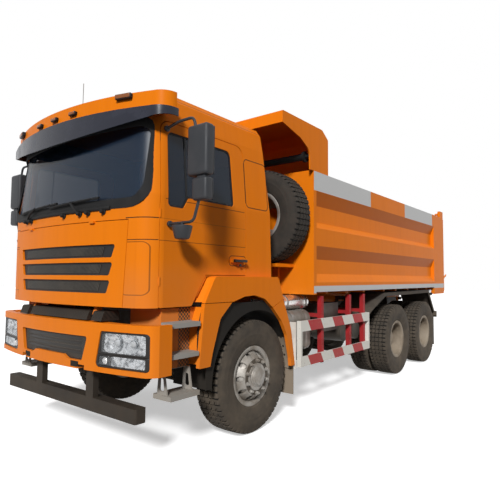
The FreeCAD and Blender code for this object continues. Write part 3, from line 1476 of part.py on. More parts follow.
def main():
    os.makedirs("parts", exist_ok=True)
    outer = cab_volume(0)
    inner = cab_volume(CAB_WALL)
    glass = cab_volume(GLASS_SET).cut(cab_volume(GLASS_SET + GLASS_WALL))
    slat = cab_volume(16).cut(cab_volume(30))

    left_wheel = front_wheel()
    export("wheel_front_left", left_wheel)
    export("wheel_front_right", [mirrored(s) for s in left_wheel])
    for label, y in zip(("mid", "rear"), TANDEM_Y):
        twin = rear_wheel(y)
        export(f"wheels_{label}_left", twin)
        export(f"wheels_{label}_right", [mirrored(s) for s in twin])
    export("spare_wheel", spare_wheel())
    export("spare_carrier", spare_carrier())
    export("knuckle_left", knuckle())
    export("knuckle_right", mirrored(knuckle()))
    export("tie_rod", tie_rod())
    export("front_axle", front_axle())
    export("leaf_springs", both_sides(front_spring()) + both_sides(rear_spring()))
    export("drive_axles", [drive_axle(TANDEM_Y[0], True), drive_axle(TANDEM_Y[1], False)])
    export("chassis_frame", frame())
    export("engine", engine())
    export("driveline", driveline())
    export("side_tanks", side_tanks())
    export("silencer", silencer())
    export("bumper", bumper())
    export("bumper_grille", bumper_grille())
    export("headlamps", both_sides(headlamp()))
    export("front_carrier", front_carrier())
    export("cab_shell", cab_shell(outer, inner))
    export("windscreen", glass.common(prism("y", -1700, -1150, screen_outline(RUNNING_GAP))))
    export("roof_visor", roof_visor(outer))
    export("sun_visor", sun_visor(outer))
    export("upper_wings", both_sides(upper_wing()))
    export("seats", seats())
    export("dashboard", dashboard())
    export("front_panel", front_panel(outer))
    export("grille", grille_inserts(slat))
    left_door = door(outer)
    export("door_left", left_door)
    export("door_right", mirrored(left_door))
    pane = door_glass()
    export("door_glass_left", pane)
    export("door_glass_right", mirrored(pane))
    left_mirror = mirror_set(cab_volume(-SEAT_GAP))
    export("mirror_left", left_mirror)
    export("mirror_right", mirrored(left_mirror))
    export("steps", both_sides(steps()))
    export("lower_wings", lower_wings() + [mirrored(s) for s in lower_wings()])
    export("arch_liners", both_sides(arch_liner()))
    export("side_guards", both_sides(side_guard()))
    posts = guard_posts()
    export("guard_posts", posts + [mirrored(s) for s in posts])
    export("rear_mudguards", both_sides(rear_mudguard()))
    export("rear_lamps", rear_lamps())
    export("bed_body", bed_body())
    export("bed_sills", bed_sills())
    export("cab_guard", cab_guard())
    export("tarp_roller", tarp_roller())
    export("tailgate", tailgate())
    ram, second, first, cover = hoist()
    export("hoist_ram", ram)
    export("hoist_stage_2", second)
    export("hoist_stage_1", first)
    export("hoist_cover", cover)


if __name__ == "__main__":
    main()
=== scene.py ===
import math

import bmesh
import bpy
from mathutils import Matrix, Vector
from mathutils.bvhtree import BVHTree


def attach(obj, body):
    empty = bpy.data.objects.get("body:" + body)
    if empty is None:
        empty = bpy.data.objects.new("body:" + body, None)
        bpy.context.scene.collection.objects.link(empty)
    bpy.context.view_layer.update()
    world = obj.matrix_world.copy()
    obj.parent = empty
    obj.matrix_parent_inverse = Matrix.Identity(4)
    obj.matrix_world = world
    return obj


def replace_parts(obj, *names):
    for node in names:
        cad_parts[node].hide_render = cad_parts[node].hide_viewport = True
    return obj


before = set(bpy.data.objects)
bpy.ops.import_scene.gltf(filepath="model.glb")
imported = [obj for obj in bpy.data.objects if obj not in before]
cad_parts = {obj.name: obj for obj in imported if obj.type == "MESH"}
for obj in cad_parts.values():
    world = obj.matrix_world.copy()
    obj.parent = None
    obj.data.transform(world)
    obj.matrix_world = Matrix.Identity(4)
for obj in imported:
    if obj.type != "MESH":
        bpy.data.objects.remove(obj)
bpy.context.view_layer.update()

frontAxle = -2.4705  # every y below is counted from the front axle, which stands here
mirrorX = Matrix.Scale(-1, 4, (1, 0, 0))


def at(x, y, z):
    return Vector((x, y + frontAxle, z))


def linked(name, data):
    obj = bpy.data.objects.new(name, data)
    bpy.context.scene.collection.objects.link(obj)
    return obj


def rgb(r, g, b):
    return (r, g, b, 1.0)


def plug(tree, socket, value):
    if isinstance(value, Wire):
        tree.links.new(value.socket, socket)
    else:
        socket.default_value = value


class Wire:  # a node's output that can be used in sums
    def __init__(self, tree, socket):
        self.tree = tree
        self.socket = socket

    def maths(self, operation, *parts, clamp=False):
        node = self.tree.nodes.new("ShaderNodeMath")
        node.operation = operation
        node.use_clamp = clamp
        for socket, value in zip(node.inputs, parts):
            plug(self.tree, socket, value)
        return Wire(self.tree, node.outputs[0])

    def __rsub__(self, other):
        return self.maths("SUBTRACT", other, self)

    def above(self, level, soft=0.002):  # 0 under the level, 1 over it
        return self.maths("MULTIPLY_ADD", self, 1 / soft, 0.5 - level / soft, clamp=True)

    def below(self, level, soft=0.002):
        return 1 - self.above(level, soft)

    def between(self, low, high, soft=0.002):
        return self.above(low, soft) * self.below(high, soft)

    def other(self, name):
        return Wire(self.tree, self.socket.node.outputs[name])


wireSums = {
    "__add__": "ADD", "__radd__": "ADD", "__sub__": "SUBTRACT", "__mul__": "MULTIPLY", "__rmul__": "MULTIPLY",
    "__truediv__": "DIVIDE", "__abs__": "ABSOLUTE", "most": "MAXIMUM", "least": "MINIMUM", "wave": "SINE", "root": "SQRT",
}
for method, operation in wireSums.items():
    setattr(Wire, method, lambda self, *others, operation=operation: self.maths(operation, self, *others))


class Nodes:  # a node tree that nodes are added to
    def __init__(self, tree):
        self.tree = tree
        tree.nodes.clear()

    def node(self, kind, settings=None, sockets=None, out=0):
        node = self.tree.nodes.new(kind)
        for key, value in (settings or {}).items():
            setattr(node, key, value)
        for key, value in (sockets or {}).items():
            plug(self.tree, node.inputs[key], value)
        return Wire(self.tree, node.outputs[out]) if len(node.outputs) else None


shaderSockets = {
    "coat": "Coat Weight", "coatRough": "Coat Roughness", "alpha": "Alpha", "sheen": "Sheen Weight",
    "specular": "Specular IOR Level", "glow": "Emission Color", "glowStrength": "Emission Strength",
}
finishes = {}


class Finish(Nodes):
    def __init__(self, name):
        self.material = finishes[name] = bpy.data.materials.new(name)
        self.material.use_nodes = True
        super().__init__(self.material.node_tree)
        self.point = self.node("ShaderNodeTexCoord", out="Object")
        self.x = self.node("ShaderNodeSeparateXYZ", sockets={"Vector": self.point}, out="X")
        self.y = self.x.other("Y") - frontAxle
        self.z = self.x.other("Z")

    def stretched(self, x, y, z):
        return self.node("ShaderNodeVectorMath", {"operation": "MULTIPLY"}, {0: self.point, 1: (x, y, z)})

    def noise(self, scale, detail=3.0, vector=None):
        return self.node("ShaderNodeTexNoise", sockets={"Vector": vector or self.point, "Scale": scale, "Detail": detail})

    def blend(self, first, second, share):
        return self.node("ShaderNodeMix", {"data_type": "RGBA"}, {0: share, 6: first, 7: second}, out=2)

    def bump(self, height, strength, distance):
        return self.node("ShaderNodeBump", sockets={"Height": height, "Strength": strength, "Distance": distance})

    def shade(self, colour, rough, normal=None, metal=0.0, **fixed):
        sockets = {"Base Color": colour, "Roughness": rough, "Metallic": metal}
        if normal is not None:
            sockets["Normal"] = normal
        sockets.update({shaderSockets[key]: value for key, value in fixed.items()})
        self.node("ShaderNodeOutputMaterial", sockets={"Surface": self.node("ShaderNodeBsdfPrincipled", sockets=sockets)})
        return self.material


# Painted steel: colours, among them a painted shade for the faces under the ledges, gloss, and the height that road
# dust reaches
paintLook = {
    "orange": rgb(0.82, 0.205, 0.004), "deep": rgb(0.70, 0.165, 0.004), "underLedge": rgb(0.46, 0.105, 0.003),
    "silver": rgb(0.60, 0.60, 0.595), "seam": rgb(0.035, 0.018, 0.008), "trim": rgb(0.060, 0.060, 0.064),
    "roadDust": rgb(0.30, 0.235, 0.165), "dustTop": 1.25,
    "rough": 0.36, "coat": 0.03, "coatRough": 0.15, "specular": 0.05,
}
# The front of the cab: half width at the belt and what it loses with the rise, its bow and the turn of its corners
skinLook = {
    "belt": 2.23, "half": 1.154, "narrow": 0.0836, "turn": 0.134,
    "front": -1.5, "lean": 0.0896, "bow": 0.115, "corner": 0.17,
}


def cabSkin(x, rise, least, most):
    # where the cab's front stands, as a sum for pieces (numbers) and for paint (wires)
    flat = skinLook["half"] - rise * skinLook["narrow"] - skinLook["turn"]
    u, v = least(x / flat, 1.0), most((x - flat) / skinLook["turn"], 0.0)
    return u * u * skinLook["bow"] + v * v * skinLook["corner"] + rise * skinLook["lean"] + skinLook["front"]


def dusty(f, colour, amount, top, reach=0.9):
    patches = f.noise(2.3, 5.0).above(0.46, 0.35)
    low = f.z.below(top, reach)
    share = (low * (0.35 + 0.65 * patches) + 0.08 * patches) * amount
    return f.blend(colour, paintLook["roadDust"], share), share


def paint(name, dust, bands=None):
    f = Finish(name)
    cloudy = f.noise(0.8, 2.0).above(0.5, 0.5)
    streaks = f.noise(1.0, 2.0, f.stretched(14, 14, 0.9)).above(0.56, 0.2)
    base = f.blend(paintLook["orange"], paintLook["deep"], 0.35 * cloudy + 0.18 * streaks)
    rough = paintLook["rough"] + 0.08 * f.noise(7.0)
    if bands:
        base, rough = bands(f, base, rough)
    base, grime = dusty(f, base, dust, paintLook["dustTop"])
    fixed = {key: paintLook[key] for key in ("coat", "coatRough", "specular")}
    f.shade(base, rough + 0.4 * grime, f.bump(f.noise(140.0, 1.0), 0.04, 0.0006), **fixed)


def roundedLine(f, a, b, centre, half, corner, width):
    # line of a rounded rectangle drawn on the a, b plane
    qa = abs(a - centre[0]) - (half[0] - corner)
    qb = abs(b - centre[1]) - (half[1] - corner)
    oa, ob = qa.most(0.0), qb.most(0.0)
    return abs((oa * oa + ob * ob).root() + qa.most(qb).least(0.0) - corner).below(width, 0.0015)


def cabBands(f, base, rough):
    # seams of the corner panels and the blind quarter panel outside, grey trim inside the walls
    x = abs(f.x)
    seams = f.z.between(1.850, 1.857) + f.z.between(2.030, 2.038)
    ahead = f.y.below(-1.262) * x.above(0.905)
    panel = roundedLine(f, f.y, f.z, (0.045, 2.510), (0.185, 0.250), 0.05, 0.0045) * f.y.above(-0.2, 0.01)
    corner = roundedLine(f, x, f.z, (0.990, 1.620), (0.120, 0.215), 0.05, 0.004) * f.y.below(-1.30, 0.01)
    base = f.blend(base, paintLook["seam"], (seams * ahead + panel * x.above(1.0, 0.01) + 0.6 * corner).most(0.0))
    rise = (f.z - skinLook["belt"]).most(0.0)
    wall = 0.024
    back = 0.370 - rise * 0.094 - (f.z - 1.3) * 0.045
    inner = (f.y - cabSkin(x, rise, Wire.least, Wire.most)).above(wall) * (back - f.y).above(wall)
    inner = inner * (skinLook["half"] - rise * skinLook["narrow"] - x).above(wall) * f.z.between(1.59, 3.10)
    return f.blend(base, paintLook["trim"], inner), rough + 0.3 * inner


def bedBands(f, base, rough):
    # silver upper band either side of the plain stretch, silver bottom rail, worn steel inside, and painted shade on
    # the outer faces that look down under the ledges
    x = abs(f.x)
    upper = f.z.between(2.612, 2.900) * (f.y.between(1.045, 2.713) + f.y.between(4.154, 5.705))
    lower = f.z.between(1.370, 1.457) * f.y.between(1.045, 6.460)
    silver = x.above(1.200) * (upper + lower)
    base = f.blend(base, paintLook["silver"], silver)
    inside = x.below(1.166) * f.z.between(1.462, 2.835) * f.y.above(1.100)
    scraped = f.noise(5.0, 6.0, f.stretched(1, 0.25, 3)).above(0.47, 0.16)
    steel = f.blend(rgb(0.16, 0.12, 0.09), rgb(0.30, 0.26, 0.22), scraped)
    base = f.blend(base, steel, inside * (0.45 + 0.5 * scraped))
    normal = f.node("ShaderNodeTexCoord", out="Normal")
    facing = f.node("ShaderNodeSeparateXYZ", sockets={"Vector": normal}, out="Z")
    # painted shade: outer faces whose normal points downwards are darkened, as if in the shadow of the ledge above
    base = f.blend(base, paintLook["underLedge"], 0.6 * facing.below(-0.15, 0.1) * x.above(1.150, 0.01))
    return base, rough + 0.06 * silver + 0.3 * inside


def doorBands(f, base, rough):
    # dark rebate along the foot of the window and the handle's dish
    dish = roundedLine(f, f.y, f.z, (-0.270, 1.712), (0.128, 0.048), 0.04, 0.004)
    belt = f.z.between(2.196, 2.204) * f.y.between(-1.2, -0.17)
    belt = belt + f.z.between(1.848, 1.854) + 0.5 * f.z.between(2.030, 2.035)
    return f.blend(base, paintLook["seam"], (0.85 * dish + 0.7 * belt) * abs(f.x).above(1.10, 0.01)), rough


def stepBands(f, base, rough):
    # alloy treads and hanging bracket on the painted box, with the punched rear edge, its holes painted dark as painted
    # shade
    tread = f.z.between(1.130, 1.180) + f.z.between(0.882, 0.928) + f.z.below(0.790)
    alloy = tread * f.x.above(1.1085, 0.001).most(f.z.below(0.782))
    a, b = (f.y + f.z) * 88.0, (f.y - f.z) * 88.0
    # painted shade: the punched holes take the dark seam colour
    punched = abs(a.wave() * b.wave()).above(0.22, 0.08) * f.y.between(-1.000, -0.862, 0.004) * f.x.above(1.05, 0.01)
    base = f.blend(base, paintLook["seam"], punched)
    return f.blend(base, rgb(0.34, 0.335, 0.32), alloy), rough + 0.08 * alloy


for name, dust, bands in (
    ("orangePaint", 0.08, None), ("cabPaint", 0.35, cabBands), ("doorPaint", 0.35, doorBands),
    ("bedPaint", 0.22, bedBands), ("stepPaint", 0.5, stepBands),
):
    paint(name, dust, bands)

# Side guards: white rails with three red stripes that lean forwards, from the lower rail to the upper
railLook = {
    "white": rgb(0.74, 0.72, 0.66), "red": rgb(0.40, 0.016, 0.022), "chipped": rgb(0.30, 0.22, 0.16),
    "stripes": ((0.920, 1.222), (1.518, 1.784), (2.085, 2.376)), "lean": 0.62,
    "low": 0.652, "apart": 0.408, "between": 0.80,
}
f = Finish("stripedRail")
along = f.y + (f.z - (railLook["low"] + railLook["apart"] * f.z.above(railLook["between"], 0.01))) * railLook["lean"]
first, second, third = (along.between(*stripe, 0.004) for stripe in railLook["stripes"])
base = f.blend(railLook["white"], railLook["red"], (first + second + third) * abs(f.x).above(1.22, 0.004))
base = f.blend(base, railLook["chipped"], 0.35 * f.noise(30.0, 4.0).above(0.66, 0.05))
base, grime = dusty(f, base, 0.14, 1.1)
f.shade(base, 0.45 + 0.3 * grime, f.bump(f.noise(90.0), 0.05, 0.0008), specular=0.2)

# Plain finishes: colour, worn colour, roughness, dust, and then what differs from plainRest, in its order
plainRest = {"specular": 0.4, "metal": 0.0, "grain": 60.0, "depth": 0.0004, "patches": 6.0}
plainLook = {
    "chassisBlack": ((0.013, 0.013, 0.0135), (0.045, 0.037, 0.030), 0.52, 0.30, 0.25),
    "axleBlack": ((0.016, 0.015, 0.014), (0.060, 0.047, 0.035), 0.64, 0.45, 0.25),
    "barBlack": ((0.0145, 0.012, 0.0105), (0.028, 0.022, 0.018), 0.60, 0.11, 0.14),
    "moulded": ((0.012, 0.012, 0.0125), (0.024, 0.0235, 0.023), 0.62, 0.14, 0.22, 0.0, 420, 0.0008),
    "mirrorShell": ((0.020, 0.022, 0.026), (0.032, 0.033, 0.037), 0.50, 0.04, 0.35, 0.0, 500, 0.0006),
    "rubberTrim": ((0.007, 0.007, 0.0075), (0.018, 0.0175, 0.017), 0.70, 0.06, 0.2),
    "guardFelt": ((0.034, 0.031, 0.029), (0.062, 0.053, 0.045), 0.78, 0.28, 0.2),
    "postRed": ((0.36, 0.014, 0.020), (0.24, 0.014, 0.016), 0.48, 0.06, 0.15),
    "hubSilver": ((0.36, 0.345, 0.32), (0.17, 0.145, 0.12), 0.40, 0.18, 0.4, 0.35, 160, 0.0006),
    "rimGrey": ((0.33, 0.315, 0.29), (0.14, 0.118, 0.095), 0.46, 0.22, 0.4, 0.25),
    "rimBeige": ((0.25, 0.208, 0.158), (0.14, 0.11, 0.08), 0.55, 0.28),
    "tankSilver": ((0.235, 0.220, 0.200), (0.150, 0.125, 0.100), 0.40, 0.20, 0.4, 0.45),
    "polished": ((0.72, 0.72, 0.71), (0.50, 0.47, 0.43), 0.20, 0.10, 0.4, 0.95),
    "chrome": ((0.80, 0.80, 0.80), (0.62, 0.61, 0.60), 0.10, 0.05, 0.4, 1.0),
    "hoistSteel": ((0.62, 0.62, 0.63), (0.40, 0.38, 0.36), 0.22, 0.05, 0.4, 0.9),
    "engineGrey": ((0.14, 0.14, 0.14), (0.08, 0.07, 0.06), 0.58, 0.3, 0.4, 0.3, 80, 0.0015),
    "lampBlack": ((0.008, 0.008, 0.009), (0.016, 0.016, 0.017), 0.42, 0.05, 0.22),
    "mirrorFace": ((0.75, 0.78, 0.80), (0.66, 0.68, 0.70), 0.03, 0.02, 0.4, 1.0),
    "smoked": ((0.010, 0.012, 0.024), (0.018, 0.020, 0.034), 0.22, 0.02, 0.35),
    "amberLens": ((0.85, 0.26, 0.02), (0.70, 0.20, 0.015), 0.18, 0.10),
    "redLens": ((0.50, 0.012, 0.010), (0.38, 0.010, 0.008), 0.18, 0.12),
    "clearLens": ((0.70, 0.72, 0.74), (0.60, 0.60, 0.60), 0.12, 0.08),
    "reflector": ((0.72, 0.74, 0.76), (0.10, 0.105, 0.115), 0.16, 0.0, 0.4, 1.0, 60, 0.0004, 22.0),
    "archBlack": ((0.007, 0.007, 0.007), (0.014, 0.013, 0.012), 0.75, 0.05, 0.12),
    "guardWhite": ((0.78, 0.75, 0.68), (0.62, 0.57, 0.50), 0.50, 0.08, 0.2),
    "boltDark": ((0.034, 0.031, 0.027), (0.062, 0.056, 0.047), 0.50, 0.12, 0.4, 0.3),
    "amberDark": ((0.30, 0.085, 0.012), (0.20, 0.060, 0.012), 0.22, 0.10),
    "boltGrey": ((0.30, 0.29, 0.28), (0.20, 0.16, 0.13), 0.42, 0.25, 0.4, 0.7),
}


def flapRegion(f, base):
    # dusty flap behind the wheel, punched with round holes that are painted near black as painted shade
    flap = f.y.above(0.575, 0.004) * f.z.below(1.02, 0.01)
    holes = ((f.x * 62.0).wave() * (f.z * 62.0).wave()).above(0.72, 0.1) * f.z.between(0.64, 0.97, 0.01)
    return f.blend(base, f.blend(rgb(0.270, 0.215, 0.160), rgb(0.020, 0.018, 0.016), holes), flap)


def boxRegion(f, base):
    # the battery box and the air reservoirs are black
    black = f.x.above(0.0, 0.01) * f.y.above(1.300, 0.01)
    return f.blend(base, rgb(0.022, 0.021, 0.020), 0.95 * black)


def boardRegion(f, base):
    # punched foot board over the bumper, its holes painted near black as painted shade
    holes = ((f.x * 150.0).wave() * ((f.y + f.z) * 150.0).wave()).above(0.2, 0.2) * f.z.above(1.20, 0.005)
    return f.blend(base, rgb(0.004, 0.004, 0.004), 0.9 * holes)


regions = {"archBlack": flapRegion, "tankSilver": boxRegion, "barBlack": boardRegion}
for name, (colour, wornColour, rough, dust, *rest) in plainLook.items():
    look = dict(plainRest, **dict(zip(plainRest, rest)))
    f = Finish(name)
    worn = f.noise(look["patches"], 5.0).above(0.55, 0.16)
    base = f.blend(rgb(*colour), rgb(*wornColour), 0.75 * worn)
    if name in regions:
        base = regions[name](f, base)
    base, grime = dusty(f, base, dust, 1.3, 1.0)
    grain = f.bump(f.noise(look["grain"], 2.0), 0.35, look["depth"])
    metal = look["metal"] * (1 - 0.8 * grime) if look["metal"] else 0.0
    f.shade(base, rough + 0.10 * worn + 0.35 * grime, grain, metal, specular=look["specular"])

# Tyre rubber: the more road dirt, the browner
for name, dirt in (("roadRubber", 1.0), ("spareRubber", 0.35)):
    f = Finish(name)
    base = f.blend(rgb(0.032, 0.028, 0.024), rgb(0.066, 0.053, 0.041), f.noise(9.0, 5.0).above(0.5, 0.3) * dirt)
    base, grime = dusty(f, base, 0.16 * dirt, 1.0, 1.0)
    # painted shade on the floor of the grooves, where the deep attribute is 1
    floor = f.node("ShaderNodeAttribute", {"attribute_name": "deep"}, out="Fac")
    base = f.blend(base, rgb(0.012, 0.011, 0.010), floor)
    f.shade(base, 0.84 + 0.1 * grime, f.bump(f.noise(260.0, 2.0), 0.3, 0.0008), specular=0.25)

# Glass: the bowed corners of the screen hold a soft, wide highlight
glassLook = {
    "clearGlass": (rgb(0.009, 0.018, 0.034), 0.72), "screenGlass": (rgb(0.018, 0.034, 0.062), 0.50),
    "lampGlass": (rgb(0.30, 0.31, 0.32), 0.16),
}
for name, (colour, alpha) in glassLook.items():
    f = Finish(name)
    corner = abs(f.x).above(0.93, 0.12) * f.y.below(-1.20, 0.05)
    rough = 0.09 + 0.05 * f.noise(3.0, 4.0).above(0.55, 0.3) + 0.26 * corner
    f.shade(colour, rough, f.bump(f.noise(0.6), 0.02, 0.01), alpha=alpha, specular=0.28)

# Seat cloth
clothLook = {"threads": 420, "light": rgb(0.075, 0.080, 0.095), "dark": rgb(0.022, 0.023, 0.028)}
f = Finish("seatCloth")
a = f.node("ShaderNodeSeparateXYZ", sockets={0: f.stretched(*[clothLook["threads"]] * 3)}, out="X")
b, c = a.other("Y"), a.other("Z")
thread = (a.wave() * b.wave() + c.wave() * b.wave()) * 0.25 + 0.5
base = f.blend(clothLook["dark"], clothLook["light"], thread * 0.5 + f.noise(12.0) * 0.5)
f.shade(base, 0.86, f.bump(thread, 0.5, 0.0012), sheen=0.3)
print("finishes made:", len(finishes))

nodeFinish = {
    "archBlack": "arch_liners", "barBlack": "front_carrier", "bedPaint": "bed_body", "cabPaint": "cab_shell",
    "axleBlack": "drive_axles front_axle knuckle_left knuckle_right leaf_springs tie_rod",
    "chassisBlack": "chassis_frame rear_lamps", "clearGlass": "door_glass_left door_glass_right",
    "doorPaint": "door_left door_right", "engineGrey": "driveline engine", "guardFelt": "rear_mudguards",
    "hoistSteel": "hoist_ram hoist_stage_1 hoist_stage_2", "lampBlack": "bumper_grille", "moulded": "dashboard grille",
    "orangePaint": "bed_sills bumper cab_guard front_panel hoist_cover lower_wings roof_visor spare_carrier "
                   "tailgate upper_wings",
    "polished": "silencer", "postRed": "guard_posts", "rubberTrim": "tarp_roller", "screenGlass": "windscreen",
    "smoked": "sun_visor", "stepPaint": "steps", "stripedRail": "side_guards", "tankSilver": "side_tanks",
}
finishOf = {node: finish for finish, nodes in nodeFinish.items() for node in nodes.split()}
for name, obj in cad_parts.items():
    finish = finishes[finishOf.get(name, "roadRubber")]  # the nodes left over are replaced below
    if not obj.material_slots:
        obj.data.materials.append(finish)
    for place in obj.material_slots:
        place.material = finish


# Mesh makers

def shaped(name, bm):
    bmesh.ops.remove_doubles(bm, verts=bm.verts, dist=0.00004)
    bmesh.ops.recalc_face_normals(bm, faces=bm.faces)
    mesh = bpy.data.meshes.new(name)
    bm.to_mesh(mesh)
    bm.free()
    return mesh


def joined(name, *parts):
    # one mesh from pairs of a mesh and where it goes
    bm = bmesh.new()
    for mesh, move in parts:
        copy = mesh.copy()
        copy.transform(move)
        if move.determinant() < 0:
            copy.flip_normals()
        bm.from_mesh(copy)
        bpy.data.meshes.remove(copy)
    made = bpy.data.meshes.new(name)
    bm.to_mesh(made)
    bm.free()
    return made


def piece(name, made, body, finish, slotName, sharp=34):
    # made is a bmesh or a mesh; edges sharper than that many degrees stay crisp
    mesh = shaped(name, made) if isinstance(made, bmesh.types.BMesh) else made
    mesh.materials.clear()
    mesh.materials.append(finishes[finish])
    mesh.polygons.foreach_set("material_index", [0] * len(mesh.polygons))
    mesh.polygons.foreach_set("use_smooth", [True] * len(mesh.polygons))
    mesh.set_sharp_from_angle(angle=math.radians(sharp))
    obj = linked(name, mesh)
    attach(obj, body)
    return obj


def twinPiece(name, bm, *look):
    # what is drawn on the left and its mirror image, as one piece
    mesh = shaped(name, bm)
    return piece(name, joined(name, (mesh, Matrix()), (mesh, mirrorX)), *look)


def doorPair(name, bm, *look):
    # what is drawn on the left door and its mirror image on the right one
    mesh = shaped(name, bm)
    left = piece(name + "Left", mesh, "door_l", *look)
    return left, piece(name + "Right", joined(name, (mesh, mirrorX)), "door_r", *look)


def addSkin(bm, rings, around=False, caps=False):
    # faces from each ring of vertices to the next; a ring of one vertex is a point
    count = max(len(ring) for ring in rings)
    for first, second in zip(rings, rings[1:] + (rings[:1] if around else [])):
        for k in range(count):
            n = (k + 1) % count
            corners = (first[k % len(first)], first[n % len(first)], second[n % len(second)], second[k % len(second)])
            corners = list(dict.fromkeys(corners))
            if len(corners) > 2:
                bm.faces.new(corners)
    if caps:
        bm.faces.new(rings[0][::-1])
        bm.faces.new(rings[-1])


def circle(bm, foot, side, up, radius, count):
    turns = [2 * math.pi * k / count for k in range(count)]
    return [bm.verts.new(foot + (side * math.cos(a) + up * math.sin(a)) * radius) for a in turns]


def addBlock(bm, low, high, soft=0.004, steps=2):
    verts = bmesh.ops.create_cube(bm, size=1.0)["verts"]
    middle = (Vector(low) + Vector(high)) / 2
    span = Vector(high) - Vector(low)
    for v in verts:
        v.co = middle + v.co * span
    edges = list({e for v in verts for e in v.link_edges})
    bmesh.ops.bevel(bm, geom=edges, offset=soft, segments=steps, profile=0.5, affect="EDGES", clamp_overlap=True)


def addTurned(bm, profile, centre, axis, segments=64, closed=False):
    # profile of (along, radius) turned about an axis through the centre
    axis = Vector(axis).normalized()
    side = axis.orthogonal().normalized()
    rings = []
    for along, radius in profile:
        foot = Vector(centre) + axis * along
        onAxis = radius < 1e-6
        rings.append([bm.verts.new(foot)] if onAxis else circle(bm, foot, side, axis.cross(side), radius, segments))
    addSkin(bm, rings, around=closed)


def addTube(bm, points, radius, sides=12):
    # round bar along a line of points, with flat ends
    points = [Vector(p) for p in points]
    heading = (points[1] - points[0]).normalized()
    side = heading.orthogonal().normalized()
    rings = []
    for i, p in enumerate(points):
        before = (p - points[i - 1]).normalized() if i else heading
        after = (points[i + 1] - p).normalized() if i + 1 < len(points) else before
        way = (before + after).normalized()
        side = (side - way * side.dot(way)).normalized()
        wide = radius / max(0.35, math.sqrt((1 + before.dot(after)) / 2))  # a bend keeps the bar's thickness
        grow = wide if 0 < i < len(points) - 1 else radius
        rings.append(circle(bm, p, side, way.cross(side), grow, sides))
    addSkin(bm, rings, caps=True)


def curve(start, middle, end, steps):
    shares = [k / steps for k in range(steps + 1)]
    return [start * (1 - t) ** 2 + middle * 2 * t * (1 - t) + end * t * t for t in shares]


def bent(points, radius, steps=5):
    # the same line with its corners rounded off
    points = [Vector(p) for p in points]
    line = [points[0]]
    for a, b, c in zip(points, points[1:], points[2:]):
        reach = min(radius, (b - a).length * 0.49, (c - b).length * 0.49)
        line += curve(b + (a - b).normalized() * reach, b, b + (c - b).normalized() * reach, steps)
    return line + [points[-1]]


def addPlate(bm, corners, depth):
    # flat outline of points thickened by the vector depth
    low = [bm.verts.new(Vector(p)) for p in corners]
    high = [bm.verts.new(Vector(p) + Vector(depth)) for p in corners]
    addSkin(bm, [low, high], caps=True)


def addBead(bm, hits, width, height):
    # flat moulding that follows a closed line of points and normals on a surface
    section = ((-0.5, -0.004), (-0.5, height * 0.6), (-0.25, height), (0.25, height), (0.5, height * 0.6), (0.5, -0.004))
    rows = []
    for i, (p, out) in enumerate(hits):
        along = (hits[(i + 1) % len(hits)][0] - hits[i - 1][0]).normalized()
        side = along.cross(out).normalized()
        rows.append([bm.verts.new(p + side * width * a + out * b) for a, b in section])
    addSkin(bm, rows, around=True)


def surfaceOf(*nodes):
    # ray-cast tree of CAD nodes as they stand
    verts, faces = [], []
    for name in nodes:
        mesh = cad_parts[name].data
        start = len(verts)
        verts += [v.co.copy() for v in mesh.vertices]
        faces += [[start + k for k in p.vertices] for p in mesh.polygons]
    return BVHTree.FromPolygons(verts, faces)


# Geometry Nodes: items turned in a ring about X, and items laid out in rows

class Grower(Nodes):
    def __init__(self, name, sizes):
        super().__init__(bpy.data.node_groups.new(name, "GeometryNodeTree"))
        sockets = {"Geometry": "Geometry", "Item": "Object", **sizes, "Finish": "Material"}
        for label, kind in sockets.items():
            self.tree.interface.new_socket(label, in_out="INPUT", socket_type="NodeSocket" + kind)
        self.tree.interface.new_socket("Geometry", in_out="OUTPUT", socket_type="NodeSocketGeometry")
        start = self.node("NodeGroupInput")
        self.given = {label: start.other(label) for label in sockets}
        self.index = self.node("GeometryNodeInputIndex")

    def vector(self, operation, sockets):
        return self.node("ShaderNodeVectorMath", {"operation": operation}, sockets)

    def close(self, pointSockets, instanceSockets):
        points = self.node("GeometryNodePoints", sockets={"Count": self.given["Count"], **pointSockets})
        item = self.node("GeometryNodeObjectInfo", sockets={"Object": self.given["Item"]}, out="Geometry")
        sockets = {"Points": points, "Instance": item, **instanceSockets}
        copies = self.node("GeometryNodeInstanceOnPoints", sockets=sockets)
        both = self.node("GeometryNodeJoinGeometry", sockets={0: self.given["Geometry"]})
        plug(self.tree, both.socket.node.inputs[0], copies)
        real = self.node("GeometryNodeRealizeInstances", sockets={0: both})
        coated = self.node("GeometryNodeSetMaterial", sockets={"Geometry": real, "Material": self.given["Finish"]})
        self.node("NodeGroupOutput", sockets={0: coated})


ringTree = Grower("itemsInRing", {"Count": "Int"})
index, count = ringTree.index, ringTree.given["Count"]
angle = index * index.maths("DIVIDE", 2 * math.pi, count)
ringTree.close({}, {"Rotation": ringTree.node("ShaderNodeCombineXYZ", sockets={"X": angle})})

rowTree = Grower("itemsInRows", {
    "Count": "Int", "Per row": "Int", "First": "Vector", "Step": "Vector", "Row step": "Vector", "Stagger": "Float",
})
index, given = rowTree.index, rowTree.given
row = index.maths("FLOOR", index / given["Per row"])
place = index.maths("MODULO", index, given["Per row"])
shift = index.maths("MODULO", row, 2.0) * given["Stagger"] + place
across = rowTree.vector("SCALE", {0: given["Step"], 3: shift})
down = rowTree.vector("SCALE", {0: given["Row step"], 3: row})
spot = rowTree.vector("ADD", {0: rowTree.vector("ADD", {0: across, 1: down}), 1: given["First"]})
rowTree.close({"Position": spot}, {})


def evaluated(host, spent):
    # the plain mesh that the host's modifiers make; both scratch objects go
    graph = bpy.context.evaluated_depsgraph_get()
    mesh = bpy.data.meshes.new_from_object(host.evaluated_get(graph), depsgraph=graph)
    bpy.data.objects.remove(host)
    bpy.data.objects.remove(spent)
    return mesh


